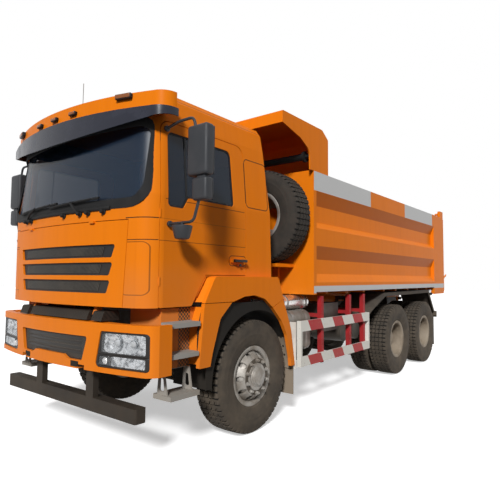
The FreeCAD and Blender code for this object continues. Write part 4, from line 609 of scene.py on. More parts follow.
def grown(name, grower, itemMesh, inputs, base=None):
    # runs a tree on a base mesh
    item = linked(name + "Item", itemMesh)
    host = linked(name + "Host", base or bpy.data.meshes.new(name))
    modifier = host.modifiers.new("Items", "NODES")
    modifier.node_group = grower.tree
    known = {s.name: s.identifier for s in grower.tree.interface.items_tree if s.in_out == "INPUT"}
    for key, value in {"Item": item, **inputs}.items():
        modifier[known[key]] = value
    return evaluated(host, item)


def cutBy(mesh, cutter):
    # mesh with the closed cutter mesh taken out of it
    host, tool = linked("cutHost", mesh), linked("cutTool", cutter)
    modifier = host.modifiers.new("Cut", "BOOLEAN")
    modifier.operation = "DIFFERENCE"
    modifier.solver = "EXACT"
    modifier.object = tool
    return evaluated(host, tool)


# Tyres, wheels and hubs, drawn about the origin with the outer side towards +X
origin, alongX, upwards = (0, 0, 0), (1, 0, 0), Vector((0, 0, 1))
tyreLook = {
    "radius": 0.5625, "half": 0.150, "pitches": 54, "zigzag": 0.0080, "grooves": (-0.089, -0.031, 0.031, 0.089),
    "groove": 0.0062, "depth": 0.017, "blockFoot": 0.020, "shoulderFoot": 0.050, "segments": 112,
}


def tyreMesh():
    r, half, grooves = tyreLook["radius"], tyreLook["half"], tyreLook["grooves"]
    flank = [
        (0.108, 0.262), (0.113, 0.268), (0.118, 0.296), (0.126, 0.312), (0.130, 0.316), (0.133, 0.330), (0.141, 0.352),
        (half - 0.003, 0.385), (half - 0.001, 0.412), (half, 0.416), (half, 0.422), (half - 0.001, 0.426), (half, 0.455),
        (half - 0.001, 0.486), (half - 0.003, 0.490), (half - 0.003, 0.496), (half - 0.005, 0.500), (half - 0.008, 0.520),
        (half - 0.013, r - 0.028), (half - 0.019, r - 0.018), (half - 0.034, r - tyreLook["depth"]), (0.06, r - 0.0155),
    ]
    profile = flank + [(0.0, r - 0.015)] + [(-x, rad) for x, rad in reversed(flank)]
    bm = bmesh.new()
    addTurned(bm, profile, origin, alongX, tyreLook["segments"], closed=True)
    carcass = shaped("carcass", bm)
    deep = carcass.attributes.new("deep", "FLOAT", "POINT")  # painted shade: darkens the floor of the grooves
    for v in carcass.vertices:
        deep.data[v.index].value = float(math.hypot(v.co.y, v.co.z) > r - 0.019 and abs(v.co.x) < half - 0.012)
    bm = bmesh.new()

    def spot(x, radius, turn):
        return bm.verts.new((x, -radius * math.sin(turn), radius * math.cos(turn)))

    def top(x):
        return r - 0.006 * (x / half) ** 2

    shoulder = [(half - 0.006, r - tyreLook["shoulderFoot"]), (half - 0.012, r - 0.014), (half - 0.024, top(0.13))]
    for k in range(len(grooves) + 1):
        left = grooves[k - 1] + tyreLook["groove"] if k else None
        right = grooves[k] - tyreLook["groove"] if k < len(grooves) else None
        rows = []
        for sway, t in zip((-1, 1, -1), (0.17, 0.5, 0.83) if None in (left, right) else (0.09, 0.5, 0.91)):
            turn = (t - 0.5) * 2 * math.pi / tyreLook["pitches"]
            sway *= tyreLook["zigzag"]
            line = [(-x, z) for x, z in shoulder] if left is None else [(left + sway, top(left))]
            line += shoulder[::-1] if right is None else [(right + sway, top(right))]
            rows.append([spot(x, radius, turn) for x, radius in line])
            for groove, (x, radius) in ((right, line[-1]), (left, line[0])):
                foot = (x * 0.9, r - tyreLook["shoulderFoot"]) if groove is None else (x, r - tyreLook["blockFoot"])
                rows[-1].append(spot(*foot, turn))
        addSkin(bm, rows, caps=True)
    inputs = {"Count": tyreLook["pitches"], "Finish": finishes["roadRubber"]}
    return grown("tyre", ringTree, shaped("treadPitch", bm), inputs, carcass)


wheelLook = {
    "flange": 0.298, "face": 0.172, "rearFace": 0.020, "discThick": 0.014,
    "handHole": 0.029, "handCircle": 0.213, "holes": 10, "nutCircle": 0.161, "nuts": 10, "segments": 96,
}


def rimMesh(face):
    # rim and dished disc with its hand holes
    flange = wheelLook["flange"]
    half = [
        (0.124, flange - 0.014), (0.124, flange - 0.003), (0.1225, flange), (0.1155, flange), (0.113, flange - 0.004),
        (0.112, 0.268), (0.106, 0.262),
    ]
    inner = [(0.100, 0.250), (0.113, 0.2545), (0.119, 0.262)]
    profile = half + [(-x, r) for x, r in reversed(half)] + [(-x, r) for x, r in reversed(inner)] + inner
    under = face - wheelLook["discThick"]
    dish = [
        (0.058, 0.2515), (0.072, 0.250), (0.088, 0.245), (0.108, 0.2335), (0.128, 0.220), (0.145, 0.209), (0.156, 0.200),
        (0.164, 0.193), (0.170, 0.187), (face, 0.182), (face, 0.137), (under, 0.137), (under, 0.179), (0.148, 0.186),
        (0.138, 0.193), (0.118, 0.208), (0.096, 0.223), (0.072, 0.234), (0.044, 0.2515),
    ]
    rings = []
    for outline in (profile, dish):
        bm = bmesh.new()
        addTurned(bm, outline, origin, alongX, wheelLook["segments"], closed=True)
        rings.append(shaped("rim", bm))
    bm = bmesh.new()
    hole = [(0.02, 0.0), (0.02, wheelLook["handHole"]), (0.2, wheelLook["handHole"]), (0.2, 0.0)]
    for k in range(wheelLook["holes"]):
        angle = 2 * math.pi * (k + 0.5) / wheelLook["holes"]
        addTurned(bm, hole, Vector((0, math.sin(angle), math.cos(angle))) * wheelLook["handCircle"], alongX, 20)
    return joined("rim", (rings[0], Matrix()), (cutBy(rings[1], shaped("handHoles", bm)), Matrix()))


nutParts = (  # washer, nut and the stud's end: outline and how many sides it has
    ([(-0.001, 0.0), (-0.001, 0.0205), (0.003, 0.0205), (0.004, 0.0195), (0.004, 0.0)], 12),
    ([(0.003, 0.0), (0.003, 0.0165), (0.021, 0.0165), (0.024, 0.0145), (0.024, 0.0)], 6),
    ([(0.020, 0.0), (0.020, 0.0085), (0.036, 0.0085), (0.037, 0.0075), (0.037, 0.0)], 8),
)


def hubMesh(profile, face):
    # turned hub with its ring of nuts on the face
    bm = bmesh.new()
    for outline, sides in nutParts:
        addTurned(bm, outline, (face, 0, wheelLook["nutCircle"]), alongX, sides)
    nut = shaped("wheelNut", bm)
    bm = bmesh.new()
    addTurned(bm, profile, origin, alongX)
    nuts = {"Count": wheelLook["nuts"], "Finish": finishes["hubSilver"]}
    return grown("hub", ringTree, nut, nuts, shaped("hub", bm))


face = wheelLook["face"]
frontHub = hubMesh([
    (-0.075, 0.0), (-0.075, 0.205), (0.112, 0.205), (0.120, 0.200), (0.156, 0.178), (0.156, 0.135), (face + 0.006, 0.135),
    (face + 0.010, 0.131), (face + 0.012, 0.118), (face + 0.012, 0.102), (face + 0.018, 0.098), (face + 0.020, 0.090),
    (face + 0.032, 0.086), (face + 0.036, 0.080), (face + 0.046, 0.078), (face + 0.051, 0.070), (face + 0.052, 0.030),
    (face + 0.054, 0.024), (face + 0.054, 0.0),
], face)
rearHub = hubMesh([
    (-0.322, 0.0), (-0.322, 0.205), (-0.056, 0.205), (-0.048, 0.200), (-0.014, 0.182), (0.018, 0.182), (0.020, 0.180),
    (0.020, 0.136), (0.060, 0.131), (0.146, 0.124), (0.152, 0.119), (0.154, 0.104), (0.184, 0.104), (0.190, 0.099),
    (0.196, 0.072), (0.202, 0.064), (0.204, 0.0),
], wheelLook["rearFace"])
plainTyre, rim = tyreMesh(), rimMesh(face)
outer = Matrix.Translation((face, 0, 0))  # the two wheels of a pair stand disc to disc
twinTyres = joined("twinTyres", (plainTyre, outer), (plainTyre, outer.inverted()))
twinRims = joined("twinRims", (rim, outer @ mirrorX), (rim, outer.inverted()))
bm = bmesh.new()
nutRingEdge = [(face - 0.001, 0.1385), (face + 0.0014, 0.1385), (face + 0.0014, 0.1815), (face - 0.001, 0.1815)]
addTurned(bm, nutRingEdge, origin, alongX, closed=True)
nutRing = shaped("nutRing", bm)
single = (plainTyre, rim, frontHub, "rimGrey", "hubSilver")
twin = (twinTyres, twinRims, rearHub, "rimBeige", "rimBeige")
wheelPlaces = {  # meshes and finishes, half the track, y, bodies, and how the CAD nodes' names start
    "Front": (single, 1.018, 0.0, ("wheel_fl", "wheel_fr"), "wheel_front_"),
    "Mid": (twin, 0.930, 3.775, ("wheels_ml", "wheels_mr"), "wheels_mid_"),
    "Rear": (twin, 0.930, 5.175, ("wheels_rl", "wheels_rr"), "wheels_rear_"),
}
for label, ((tyres, rims, hub, rimFinish, hubFinish), track, y, bodies, node) in wheelPlaces.items():
    for side, word, body in zip((1, -1), ("left", "right"), bodies):
        move = Matrix.Translation(at(side * track, y, tyreLook["radius"]))
        if side < 0:
            move = move @ Matrix.Rotation(math.pi, 4, "Z")
        name = label + word.capitalize()
        tyre = piece("tyre" + name, joined("tyre", (tyres, move)), body, "roadRubber", "tyre_rubber", 28)
        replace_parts(tyre, node + word)
        piece("rim" + name, joined("rim", (rims, move)), body, rimFinish, "alloy")
        piece("hub" + name, joined("hub", (hub, move)), body, hubFinish, "alloy")
        if label == "Front":
            piece("nutRing" + word.capitalize(), joined("nutRing", (nutRing, move)), body, "chassisBlack", "axle_black")
spareMove = Matrix.Translation(at(0.705, 0.800, 2.290)) @ Matrix.Rotation(-math.pi / 2, 4, "Z") @ mirrorX
spareTyre = piece("tyreSpare", joined("tyreSpare", (plainTyre, spareMove)), "chassis", "spareRubber", "tyre_rubber", 28)
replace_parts(spareTyre, "spare_wheel")
piece("rimSpare", joined("rimSpare", (rim, spareMove)), "chassis", "rimGrey", "alloy")
print("wheels made, tyre triangles:", sum(len(p.vertices) - 2 for p in plainTyre.polygons))


# Pieces that follow the truck's own surfaces

def roundedOutline(corners, steps=6):
    # points of an outline (a, b, radius) with its corners rounded off
    points = []
    for i, (a, b, radius) in enumerate(corners):
        here, before, after = Vector((a, b)), Vector(corners[i - 1][:2]), Vector(corners[(i + 1) % len(corners)][:2])
        back, on = (before - here).normalized(), (after - here).normalized()
        reach = radius / math.tan(back.angle(on) / 2)
        points += curve(here + back * reach, here, here + on * reach, steps)
    return points


def filledIn(points, step):
    # the same closed outline with a point at least every step
    line = []
    for i, p in enumerate(points):
        ahead = points[(i + 1) % len(points)]
        count = max(1, math.ceil((ahead - p).length / step))
        line += [p.lerp(ahead, k / count) for k in range(count)]
    return line


def frontPlace(tree, x, z):
    place, normal = tree.ray_cast(at(x, -2.4, z), Vector((0, 1, 0)))[:2]
    if place is None:  # just past an edge
        place, normal = tree.find_nearest(at(x, -1.4, z))[:2]
        place = Vector((x, place.y, z))
    return place, (-normal if normal.y > 0 else normal)


def cabPlace(x, z):
    # the cab's outer skin in front, with nothing let into it
    def skin(x, z):
        return at(x, cabSkin(abs(x), max(z - skinLook["belt"], 0), min, max), z)
    place = skin(x, z)
    return place, (skin(x, z + 0.004) - place).cross(skin(x + 0.004, z) - place).normalized() * -1


def sidePlace(tree, y, z):
    place, normal = tree.ray_cast(at(1.9, y, z), Vector((-1, 0, 0)))[:2]
    return place, (-normal if normal.x < 0 else normal)


def addPatch(bm, tree, corners, cols, rows, push, thick):
    # slab between four corners (x, z) whose face stands push(s, t) behind the surface in front of it
    grids = []
    for extra in (0.0, thick):
        grid = []
        for j in range(rows + 1):
            for i in range(cols + 1):
                s, t = i / cols, j / rows
                low = Vector(corners[0]).lerp(Vector(corners[1]), s)
                high = Vector(corners[3]).lerp(Vector(corners[2]), s)
                x, z = low.lerp(high, t)
                y = frontPlace(tree, x, z)[0].y
                grid.append(bm.verts.new((x, y + push(s, t) + extra, z)))
        grids.append(grid)
    wide = cols + 1
    for grid in grids:
        for j in range(rows):
            for i in range(cols):
                k = j * wide + i
                bm.faces.new([grid[k], grid[k + 1], grid[k + wide + 1], grid[k + wide]])
    rim = list(range(wide)) + [j * wide + cols for j in range(1, rows + 1)]
    rim += [rows * wide + i for i in range(cols - 1, -1, -1)] + [j * wide for j in range(rows - 1, 0, -1)]
    addSkin(bm, [[grid[k] for k in rim] for grid in grids])


def addFrame(bm, tree, loops):
    # closed ring through outlines (x, z) of equal count, each at a depth behind the surface
    rings = []
    for outline, depth in loops:
        rings.append([bm.verts.new(frontPlace(tree, x, z)[0] + Vector((0, depth, 0))) for x, z in outline])
    addSkin(bm, rings, around=True)


def wrapped(mesh, tree):
    # carries a mesh drawn on the plane y = 0 onto the surface in front of it
    for v in mesh.vertices:
        v.co.y += frontPlace(tree, v.co.x, v.co.z)[0].y
    return mesh


# Mirrors: tall and low housings on two arms, with a small cup over the kerb
mirrorLook = {
    "y": -1.165, "inner": 1.400, "outer": 1.620, "armRadius": 0.012, "bend": 0.05, "cupAt": (1.315, 1.856),
    "armFeet": ((1.166, 1.990), (1.110, 2.802)),
    "shells": (  # past the inner and outer edge, then y and z from and to, softness and its steps
        (0.0, 0.0, -0.050, 0.050, 2.345, 2.752, 0.030, 5), (0.052, -0.008, -0.045, 0.045, 2.150, 2.332, 0.026, 5),
        (0.090, -0.040, -0.022, 0.022, 2.320, 2.357, 0.006, 2), (0.010, -0.010, 0.046, 0.056, 2.357, 2.740, 0.0045, 2),
        (0.060, -0.016, 0.041, 0.051, 2.160, 2.322, 0.0045, 2),
    ),
    "faces": (
        (0.020, -0.020, 0.055, 0.0585, 2.367, 2.730, 0.0015, 1), (0.070, -0.026, 0.050, 0.0535, 2.170, 2.312, 0.0015, 1),
    ),
    "arms": (
        ((1.153, 0, 1.990), (1.440, 0, 1.990), (1.500, 0, 2.165)),
        ((1.092, 0, 2.796), (1.250, 0, 2.834), (1.430, 0, 2.834), (1.454, 0, 2.740)),
    ),
    "armFoot": [(-0.016, 0.0), (-0.016, 0.021), (-0.006, 0.026), (0.010, 0.026), (0.014, 0.020), (0.014, 0.0)],
    "cup": [
        (0.0, 0.0), (0.0, 0.040), (0.004, 0.054), (0.014, 0.062), (0.098, 0.082), (0.108, 0.082), (0.112, 0.077),
        (0.108, 0.071), (0.096, 0.0),
    ],
    "wide": [(0.0, 0.0), (0.0, 0.110), (0.008, 0.118), (0.020, 0.116), (0.032, 0.090), (0.038, 0.0)],
    "wideArm": ((-1.460, 0, 2.400), (-1.360, 0.01, 2.470), (-1.280, 0.035, 2.445)),
}
mirrorY = mirrorLook["y"]


def mirrorBlocks(bm, rows):
    for a, b, y0, y1, z0, z1, soft, steps in rows:
        low, high = at(mirrorLook["inner"] + a, mirrorY + y0, z0), at(mirrorLook["outer"] + b, mirrorY + y1, z1)
        addBlock(bm, low, high, soft, steps)


bm = bmesh.new()
mirrorBlocks(bm, mirrorLook["shells"])
for arm in mirrorLook["arms"]:
    addTube(bm, bent([at(x, y + mirrorY, z) for x, y, z in arm], mirrorLook["bend"]), mirrorLook["armRadius"])
x, z = mirrorLook["cupAt"]
addTurned(bm, mirrorLook["cup"], at(x, mirrorY, z), upwards, 40)
addTurned(bm, [(0.0, 0.0), (0.0, 0.015), (0.046, 0.015), (0.046, 0.0)], at(x, mirrorY, z + 0.094), upwards, 16)
for x, z in mirrorLook["armFeet"]:
    addTurned(bm, mirrorLook["armFoot"], at(x, mirrorY, z), alongX, 20)
left, right = doorPair("mirrorShell", bm, "mirrorShell", "dark_plastic")
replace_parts(left, "mirror_left")
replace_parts(right, "mirror_right")
bm = bmesh.new()
mirrorBlocks(bm, mirrorLook["faces"])
doorPair("mirrorFace", bm, "mirrorFace", "clear_glass")
bm = bmesh.new()
addTurned(bm, mirrorLook["wide"], at(-1.272, -1.120, 2.440), (0.35, -1, 0), 36)
addTube(bm, bent([at(x, y + mirrorY, z) for x, y, z in mirrorLook["wideArm"]], 0.04), 0.009)
piece("wideMirror", bm, "door_r", "mirrorShell", "dark_plastic")
print("mirrors made")

# Seats: a plinth, and cushions that crown between their piped edges; channels run along x (0) or y (1)
seatLook = {
    "place": 0.560, "cuts": 22, "round": 0.13, "cord": 0.0045,
    "channels": 3, "channelDepth": 0.010, "channelWidth": 0.045,
    "base": ((0.230, -0.560, -0.060, 1.592, 1.900, 0.020), (0.250, -0.600, -0.050, 1.895, 1.965, 0.015)),
    "post": ((0.050, 2.560), (0.078, 2.680)), "postsApart": 0.075, "postRadius": 0.007,
    "pads": {
        "seatCushion": dict(size=(0.52, 0.57, 0.115), place=(-0.330, 2.012), tilt=-1.6, crown=0.020, channels=0),
        "seatBack": dict(size=(0.50, 0.56, 0.120), place=(0.012, 2.345), tilt=81.0, crown=0.020, channels=1),
        "seatHead": dict(size=(0.26, 0.17, 0.080), place=(0.085, 2.700), tilt=81.0, crown=0.014, channels=0),
    },
}


def padMesh(name, size, crown, channelAxis):
    # rounded pad about the origin, crowned outwards and pulled in at its corners, with sewn channels across its face
    bm = bmesh.new()
    bmesh.ops.create_cube(bm, size=2.0)
    bmesh.ops.subdivide_edges(bm, edges=bm.edges[:], cuts=seatLook["cuts"], use_grid_fill=True)
    half = Vector(size) / 2
    for v in bm.verts:
        u = v.co.copy()
        soft = u.lerp(u.normalized() * max(abs(c) for c in u), seatLook["round"])
        swell = [crown * (1 - u[(i + 1) % 3] ** 2) * (1 - u[(i + 2) % 3] ** 2) * soft[i] for i in range(3)]
        place = Vector([soft[i] * half[i] + swell[i] for i in range(3)])
        if u.z > 0.97:
            for k in range(seatLook["channels"]):
                away = (u[channelAxis] + 0.5 - k / (seatLook["channels"] - 1)) / seatLook["channelWidth"]
                place.z -= seatLook["channelDepth"] * math.exp(-away ** 2) * (1 - u[1 - channelAxis] ** 4)
        v.co = place
    bmesh.ops.smooth_vert(bm, verts=bm.verts[:], factor=0.5, use_axis_x=True, use_axis_y=True, use_axis_z=True)
    return shaped(name, bm)


def padPiping(name, size):
    # cord sewn round the edge of the pad's face
    bm = bmesh.new()
    x, y, z = Vector(size) / 2
    corners = [(-x, -y, 0.05), (x, -y, 0.05), (x, y, 0.05), (-x, y, 0.05)]
    line = [Vector((p.x * 0.955, p.y * 0.955, z * 0.80)) for p in filledIn(roundedOutline(corners, 8), 0.03)]
    addTube(bm, line + line[:1], seatLook["cord"], 8)
    return shaped(name, bm)


for label, side in (("Left", 1), ("Right", -1)):
    for name, pad in seatLook["pads"].items():
        move = Matrix.Translation(at(side * seatLook["place"], *pad["place"]))
        move = move @ Matrix.Rotation(math.radians(pad["tilt"]), 4, "X")
        stuffed = padMesh(name, pad["size"], pad["crown"], pad["channels"])
        made = joined(name, (stuffed, move), (padPiping(name, pad["size"]), move))
        cushion = piece(name + label, made, "cab", "seatCloth", "seat_fabric", 60)
        if name == "seatCushion":
            lastCushion = cushion
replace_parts(lastCushion, "seats")
bm = bmesh.new()
for side in (-1, 1):
    x = side * seatLook["place"]
    for half, y0, y1, z0, z1, soft in seatLook["base"]:
        addBlock(bm, at(x - half, y0, z0), at(x + half, y1, z1), soft, 3)
    for out in (-seatLook["postsApart"], seatLook["postsApart"]):
        addTube(bm, [at(x + out, y, z) for y, z in seatLook["post"]], seatLook["postRadius"])
piece("seatBase", bm, "cab", "moulded", "dark_plastic")
print("seats made")

# Headlamps: black bezel, chrome bowls behind a clear lens, lower strip with its fog lamp; corners are (x, z, radius)
lampLook = {
    "upper": [(0.686, 0.923, 0.012), (1.213, 0.923, 0.012), (1.213, 1.108, 0.030), (0.725, 1.108, 0.025)],
    "upperHole": [(0.726, 0.937, 0.020), (1.180, 0.937, 0.020), (1.180, 1.092, 0.026), (0.742, 1.092, 0.022)],
    "lower": [(0.665, 0.817, 0.036), (1.213, 0.817, 0.030), (1.213, 0.923, 0.010), (0.684, 0.923, 0.010)],
    "lowerHole": [(0.695, 0.833, 0.016), (1.178, 0.833, 0.016), (1.178, 0.910, 0.012), (0.706, 0.910, 0.012)],
    "strip": [(0.830, 0.833), (1.178, 0.833), (1.178, 0.910), (0.830, 0.910)],
    "back": [(0.694, 0.833), (0.830, 0.833), (0.830, 0.910), (0.705, 0.910)],
    "upperLens": [(0.728, 0.939), (1.178, 0.939), (1.178, 1.090), (0.740, 1.090)],
    "lowerLens": [(0.698, 0.836), (1.175, 0.836), (1.175, 0.907), (0.709, 0.907)],
    "bowls": ((0.30, 0.50), (0.66, 0.50)), "bowlRim": 0.018, "bowlDepth": 0.034, "bowlSize": (0.085, 0.080),
    "opening": (0.455, 0.155), "fog": (0.765, 0.871),
    "bulb": [(0.0, 0.0), (0.0, 0.028), (0.012, 0.027), (0.024, 0.018), (0.030, 0.0)],
    "fogShell": [(-0.006, 0.0), (-0.006, 0.030), (0.012, 0.030), (0.016, 0.026), (0.006, 0.022), (0.001, 0.0)],
}
lampSkin = surfaceOf("headlamps")
bm = bmesh.new()
for part in ("upper", "lower"):
    ring, hole = (roundedOutline(lampLook[key], 5) for key in (part, part + "Hole"))
    wide, tight = ([p.lerp(q, share) for p, q in zip(ring, hole)] for share in (0.18, 0.86))
    loops = [(ring, 0.010), (ring, 0.003), (wide, 0.000), (tight, 0.000), (hole, 0.004), (hole, 0.052), (ring, 0.060)]
    addFrame(bm, lampSkin, loops)
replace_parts(twinPiece("lampBezels", bm, "chassis", "lampBlack", "dark_plastic"), "headlamps")


def bowlDepth(s, t):
    depth = lampLook["bowlRim"]
    (wide, high), (across, up) = lampLook["opening"], lampLook["bowlSize"]
    for a, b in lampLook["bowls"]:
        away = ((s - a) * wide / across) ** 2 + ((t - b) * high / up) ** 2
        depth = max(depth, lampLook["bowlRim"] + lampLook["bowlDepth"] * (1 - away))
    return depth + 0.0022 * math.sin(46 * s) * math.sin(19 * t)


bm = bmesh.new()
addPatch(bm, lampSkin, [c[:2] for c in lampLook["upperHole"]], 64, 24, bowlDepth, 0.002)
addPatch(bm, lampSkin, lampLook["strip"], 60, 4, lambda s, t: 0.016 + 0.003 * math.sin(150 * s), 0.002)
twinPiece("lampBowls", bm, "chassis", "reflector", "alloy", 24)
bm = bmesh.new()
addPatch(bm, lampSkin, lampLook["back"], 12, 4, lambda s, t: 0.022, 0.002)
twinPiece("lampBacks", bm, "chassis", "lampBlack", "dark_plastic")
bm = bmesh.new()
for a, b in lampLook["bowls"]:
    foot = frontPlace(lampSkin, 0.733 + 0.447 * a, 0.937 + 0.155 * b)[0] + Vector((0, 0.046, 0))
    addTurned(bm, lampLook["bulb"], foot, (0, -1, 0), 24)
twinPiece("lampBulbs", bm, "chassis", "clearLens", "clear_glass")
bm = bmesh.new()
addTurned(bm, lampLook["fogShell"], frontPlace(lampSkin, *lampLook["fog"])[0] + Vector((0, 0.020, 0)), (0, -1, 0), 28)
twinPiece("fogLamps", bm, "chassis", "chrome", "alloy")
bm = bmesh.new()
addPatch(bm, lampSkin, lampLook["upperLens"], 30, 8, lambda s, t: 0.003 - 0.003 * (1 - (2 * t - 1) ** 4), 0.0025)
addPatch(bm, lampSkin, lampLook["lowerLens"], 30, 4, lambda s, t: 0.004, 0.0025)
twinPiece("lampLenses", bm, "chassis", "lampGlass", "clear_glass")
print("headlamps made")

# Bumper: lozenge mesh in the opening, tow openings drawn as black patches of painted shade
bumperLook = {
    "pitch": 0.021, "lozenge": (0.0088, 0.0060), "rows": 17, "perRow": 48, "first": (-0.494, 0.0, 0.862), "proud": 0.0015,
    "panels": (
        ([(-0.512, 0.892), (0.512, 0.892), (0.545, 1.038), (-0.545, 1.038)], 40, 4),
        ([(0.318, 0.858), (0.492, 0.858), (0.504, 0.8925), (0.262, 0.8925)], 8, 2),
        ([(-0.492, 0.858), (-0.318, 0.858), (-0.262, 0.8925), (-0.504, 0.8925)], 8, 2),
    ),
    "tow": (0.405, 0.812), "towHalf": (0.052, 0.024),
}


def proud(s, t):
    return -bumperLook["proud"]


bumperMeshSkin = surfaceOf("bumper_grille")
bm = bmesh.new()
for corners, cols, rows in bumperLook["panels"]:
    addPatch(bm, bumperMeshSkin, corners, cols, rows, proud, 0.0035)
piece("bumperPanel", bm, "chassis", "lampBlack", "dark_plastic")
bm = bmesh.new()
wide, high = bumperLook["lozenge"]
addPlate(bm, [(x, 0.002, z) for x, z in ((-wide, 0), (0, -high), (wide, 0), (0, high))], (0, -0.005, 0))
inputs = {
    "Count": bumperLook["rows"] * bumperLook["perRow"], "Per row": bumperLook["perRow"], "First": bumperLook["first"],
    "Step": (bumperLook["pitch"], 0.0, 0.0), "Row step": (0.0, 0.0, bumperLook["pitch"] * 0.52), "Stagger": 0.5,
    "Finish": finishes["boltDark"],
}
mesh = wrapped(grown("bumperMesh", rowTree, shaped("lozenge", bm), inputs), bumperMeshSkin)
piece("bumperMesh", mesh, "chassis", "boltDark", "dark_plastic")
bumperSkin = surfaceOf("bumper")
# tow openings: black patches laid on the bumper, painted shade in place of the holes
bm = bmesh.new()
(x, z), (wide, high) = bumperLook["tow"], bumperLook["towHalf"]
for middle in (x, -x):
    corners = [(middle + a * wide, z + b * high) for a, b in ((-1, -1), (1, -1), (1, 1), (-1, 1))]
    addPatch(bm, bumperSkin, corners, 6, 2, proud, 0.004)
piece("towOpenings", bm, "chassis", "archBlack", "dark_plastic")

# Grille: slanted vanes across the middle of each insert; rows are (z, reach either side)
grilleLook = {
    "pitch": 0.0165, "vane": (0.005, 0.036), "lean": 0.012, "rows": ((1.767, 0.66), (1.617, 0.64), (1.467, 0.62)),
}
vaneSkin = surfaceOf("grille")
bm = bmesh.new()
(wide, high), lean = grilleLook["vane"], grilleLook["lean"]
corners = ((-wide - lean, -high), (wide - lean, -high), (wide + lean, high), (lean - wide, high))
addPlate(bm, [(x, 0.003, z) for x, z in corners], (0, -0.009, 0))
vane = shaped("vane", bm)
vanes = []
for z, reach in grilleLook["rows"]:
    count = int(2 * reach / grilleLook["pitch"])
    inputs = {
        "Count": count, "Per row": count, "First": (-reach, 0.0, z), "Step": (grilleLook["pitch"], 0.0, 0.0),
        "Finish": finishes["boltDark"],
    }
    vanes.append((wrapped(grown("grilleVanes", rowTree, vane, inputs), vaneSkin), Matrix()))
piece("grilleVanes", joined("grilleVanes", *vanes), "hood", "boltDark", "dark_plastic")
print("front trim made")

# Rubber round the screen and the door windows; corners are (across, up, radius)
rubberLook = {
    "screen": [(-1.092, 2.160, 0.17), (1.092, 2.160, 0.17), (1.070, 2.852, 0.13), (-1.070, 2.852, 0.13)],
    "screenBead": (0.084, 0.007),
    "window": [
        (-1.176, 2.142, 0.04), (-1.000, 2.142, 0.04), (-0.945, 2.240, 0.04), (-0.334, 2.240, 0.04), (-0.348, 2.782, 0.07),
        (-1.156, 2.782, 0.06),
    ],
    "windowBead": (0.026, 0.006), "bar": (-0.958, (2.236, 2.35, 2.47, 2.59, 2.70, 2.782), 0.0085),
}
bm = bmesh.new()
addBead(bm, [cabPlace(x, z) for x, z in filledIn(roundedOutline(rubberLook["screen"]), 0.035)], *rubberLook["screenBead"])
piece("screenRubber", bm, "cab", "rubberTrim", "dark_plastic")
doorSkin = surfaceOf("door_left", "door_glass_left")
bm = bmesh.new()
line = filledIn(roundedOutline(rubberLook["window"]), 0.03)
addBead(bm, [sidePlace(doorSkin, y, z) for y, z in line], *rubberLook["windowBead"])
y, heights, radius = rubberLook["bar"]
addTube(bm, [sidePlace(doorSkin, y, z)[0] for z in heights], radius, 10)
doorPair("windowRubber", bm, "rubberTrim", "dark_plastic")

# Door handles: bar on two feet over a dish, with the lock's barrel under it
handleLook = {
    "y": -0.262, "z": 1.712, "bar": (-0.362, -0.178, 1.700, 1.726), "feet": (-0.350, -0.190), "footHalf": 0.014,
    "lockZ": 1.672, "lock": [(-0.002, 0.0), (-0.002, 0.014), (0.004, 0.014), (0.006, 0.011), (0.006, 0.0)],
}
bm = bmesh.new()
x = sidePlace(doorSkin, handleLook["y"], handleLook["z"])[0].x
y0, y1, z0, z1 = handleLook["bar"]
addBlock(bm, at(x + 0.010, y0, z0), at(x + 0.026, y1, z1), 0.006, 3)
for y in handleLook["feet"]:
    low = at(x - 0.002, y - handleLook["footHalf"], z0 - 0.002)
    addBlock(bm, low, at(x + 0.018, y + handleLook["footHalf"], z1 + 0.002), 0.005, 2)
addTurned(bm, handleLook["lock"], at(x, handleLook["y"], handleLook["lockZ"]), alongX, 20)
doorPair("doorHandle", bm, "lampBlack", "dark_plastic")

# Flares that lead the side out to the wings; rows are (rear of the door or step, edge of the wing, height)
flareLook = {
    "upper": ("cab", 1.120, (
        (-0.840, -0.794, 1.334), (-0.797, -0.756, 1.400), (-0.7525, -0.716, 1.470), (-0.714, -0.682, 1.530),
        (-0.700, -0.666, 1.548), (-0.672, -0.642, 1.5585),
    )),
    "lower": ("chassis", 1.102, (
        (-0.862, -0.850, 0.800), (-0.862, -0.836, 0.900), (-0.862, -0.812, 1.100), (-0.830, -0.805, 1.200),
        (-0.800, -0.792, 1.290),
    )),
}
wing, thick, share = 1.204, 0.004, 0.55  # the fold stands at that share of the way out, a little proud
for name, (body, inner, rows) in flareLook.items():
    bm = bmesh.new()
    rings = []
    for near, far, z in rows:
        fold = (inner + (wing - inner) * share - 0.006, near + (far - near) * share + 0.003)
        line = [(inner, near), fold, (wing, far)]
        points = [at(x, y, z) for x, y in line] + [at(x, y + thick, z) for x, y in line[::-1]]
        rings.append([bm.verts.new(p) for p in points])
    addSkin(bm, rings, caps=True)
    twinPiece(name + "Flares", bm, body, "orangePaint", "orange_paint")

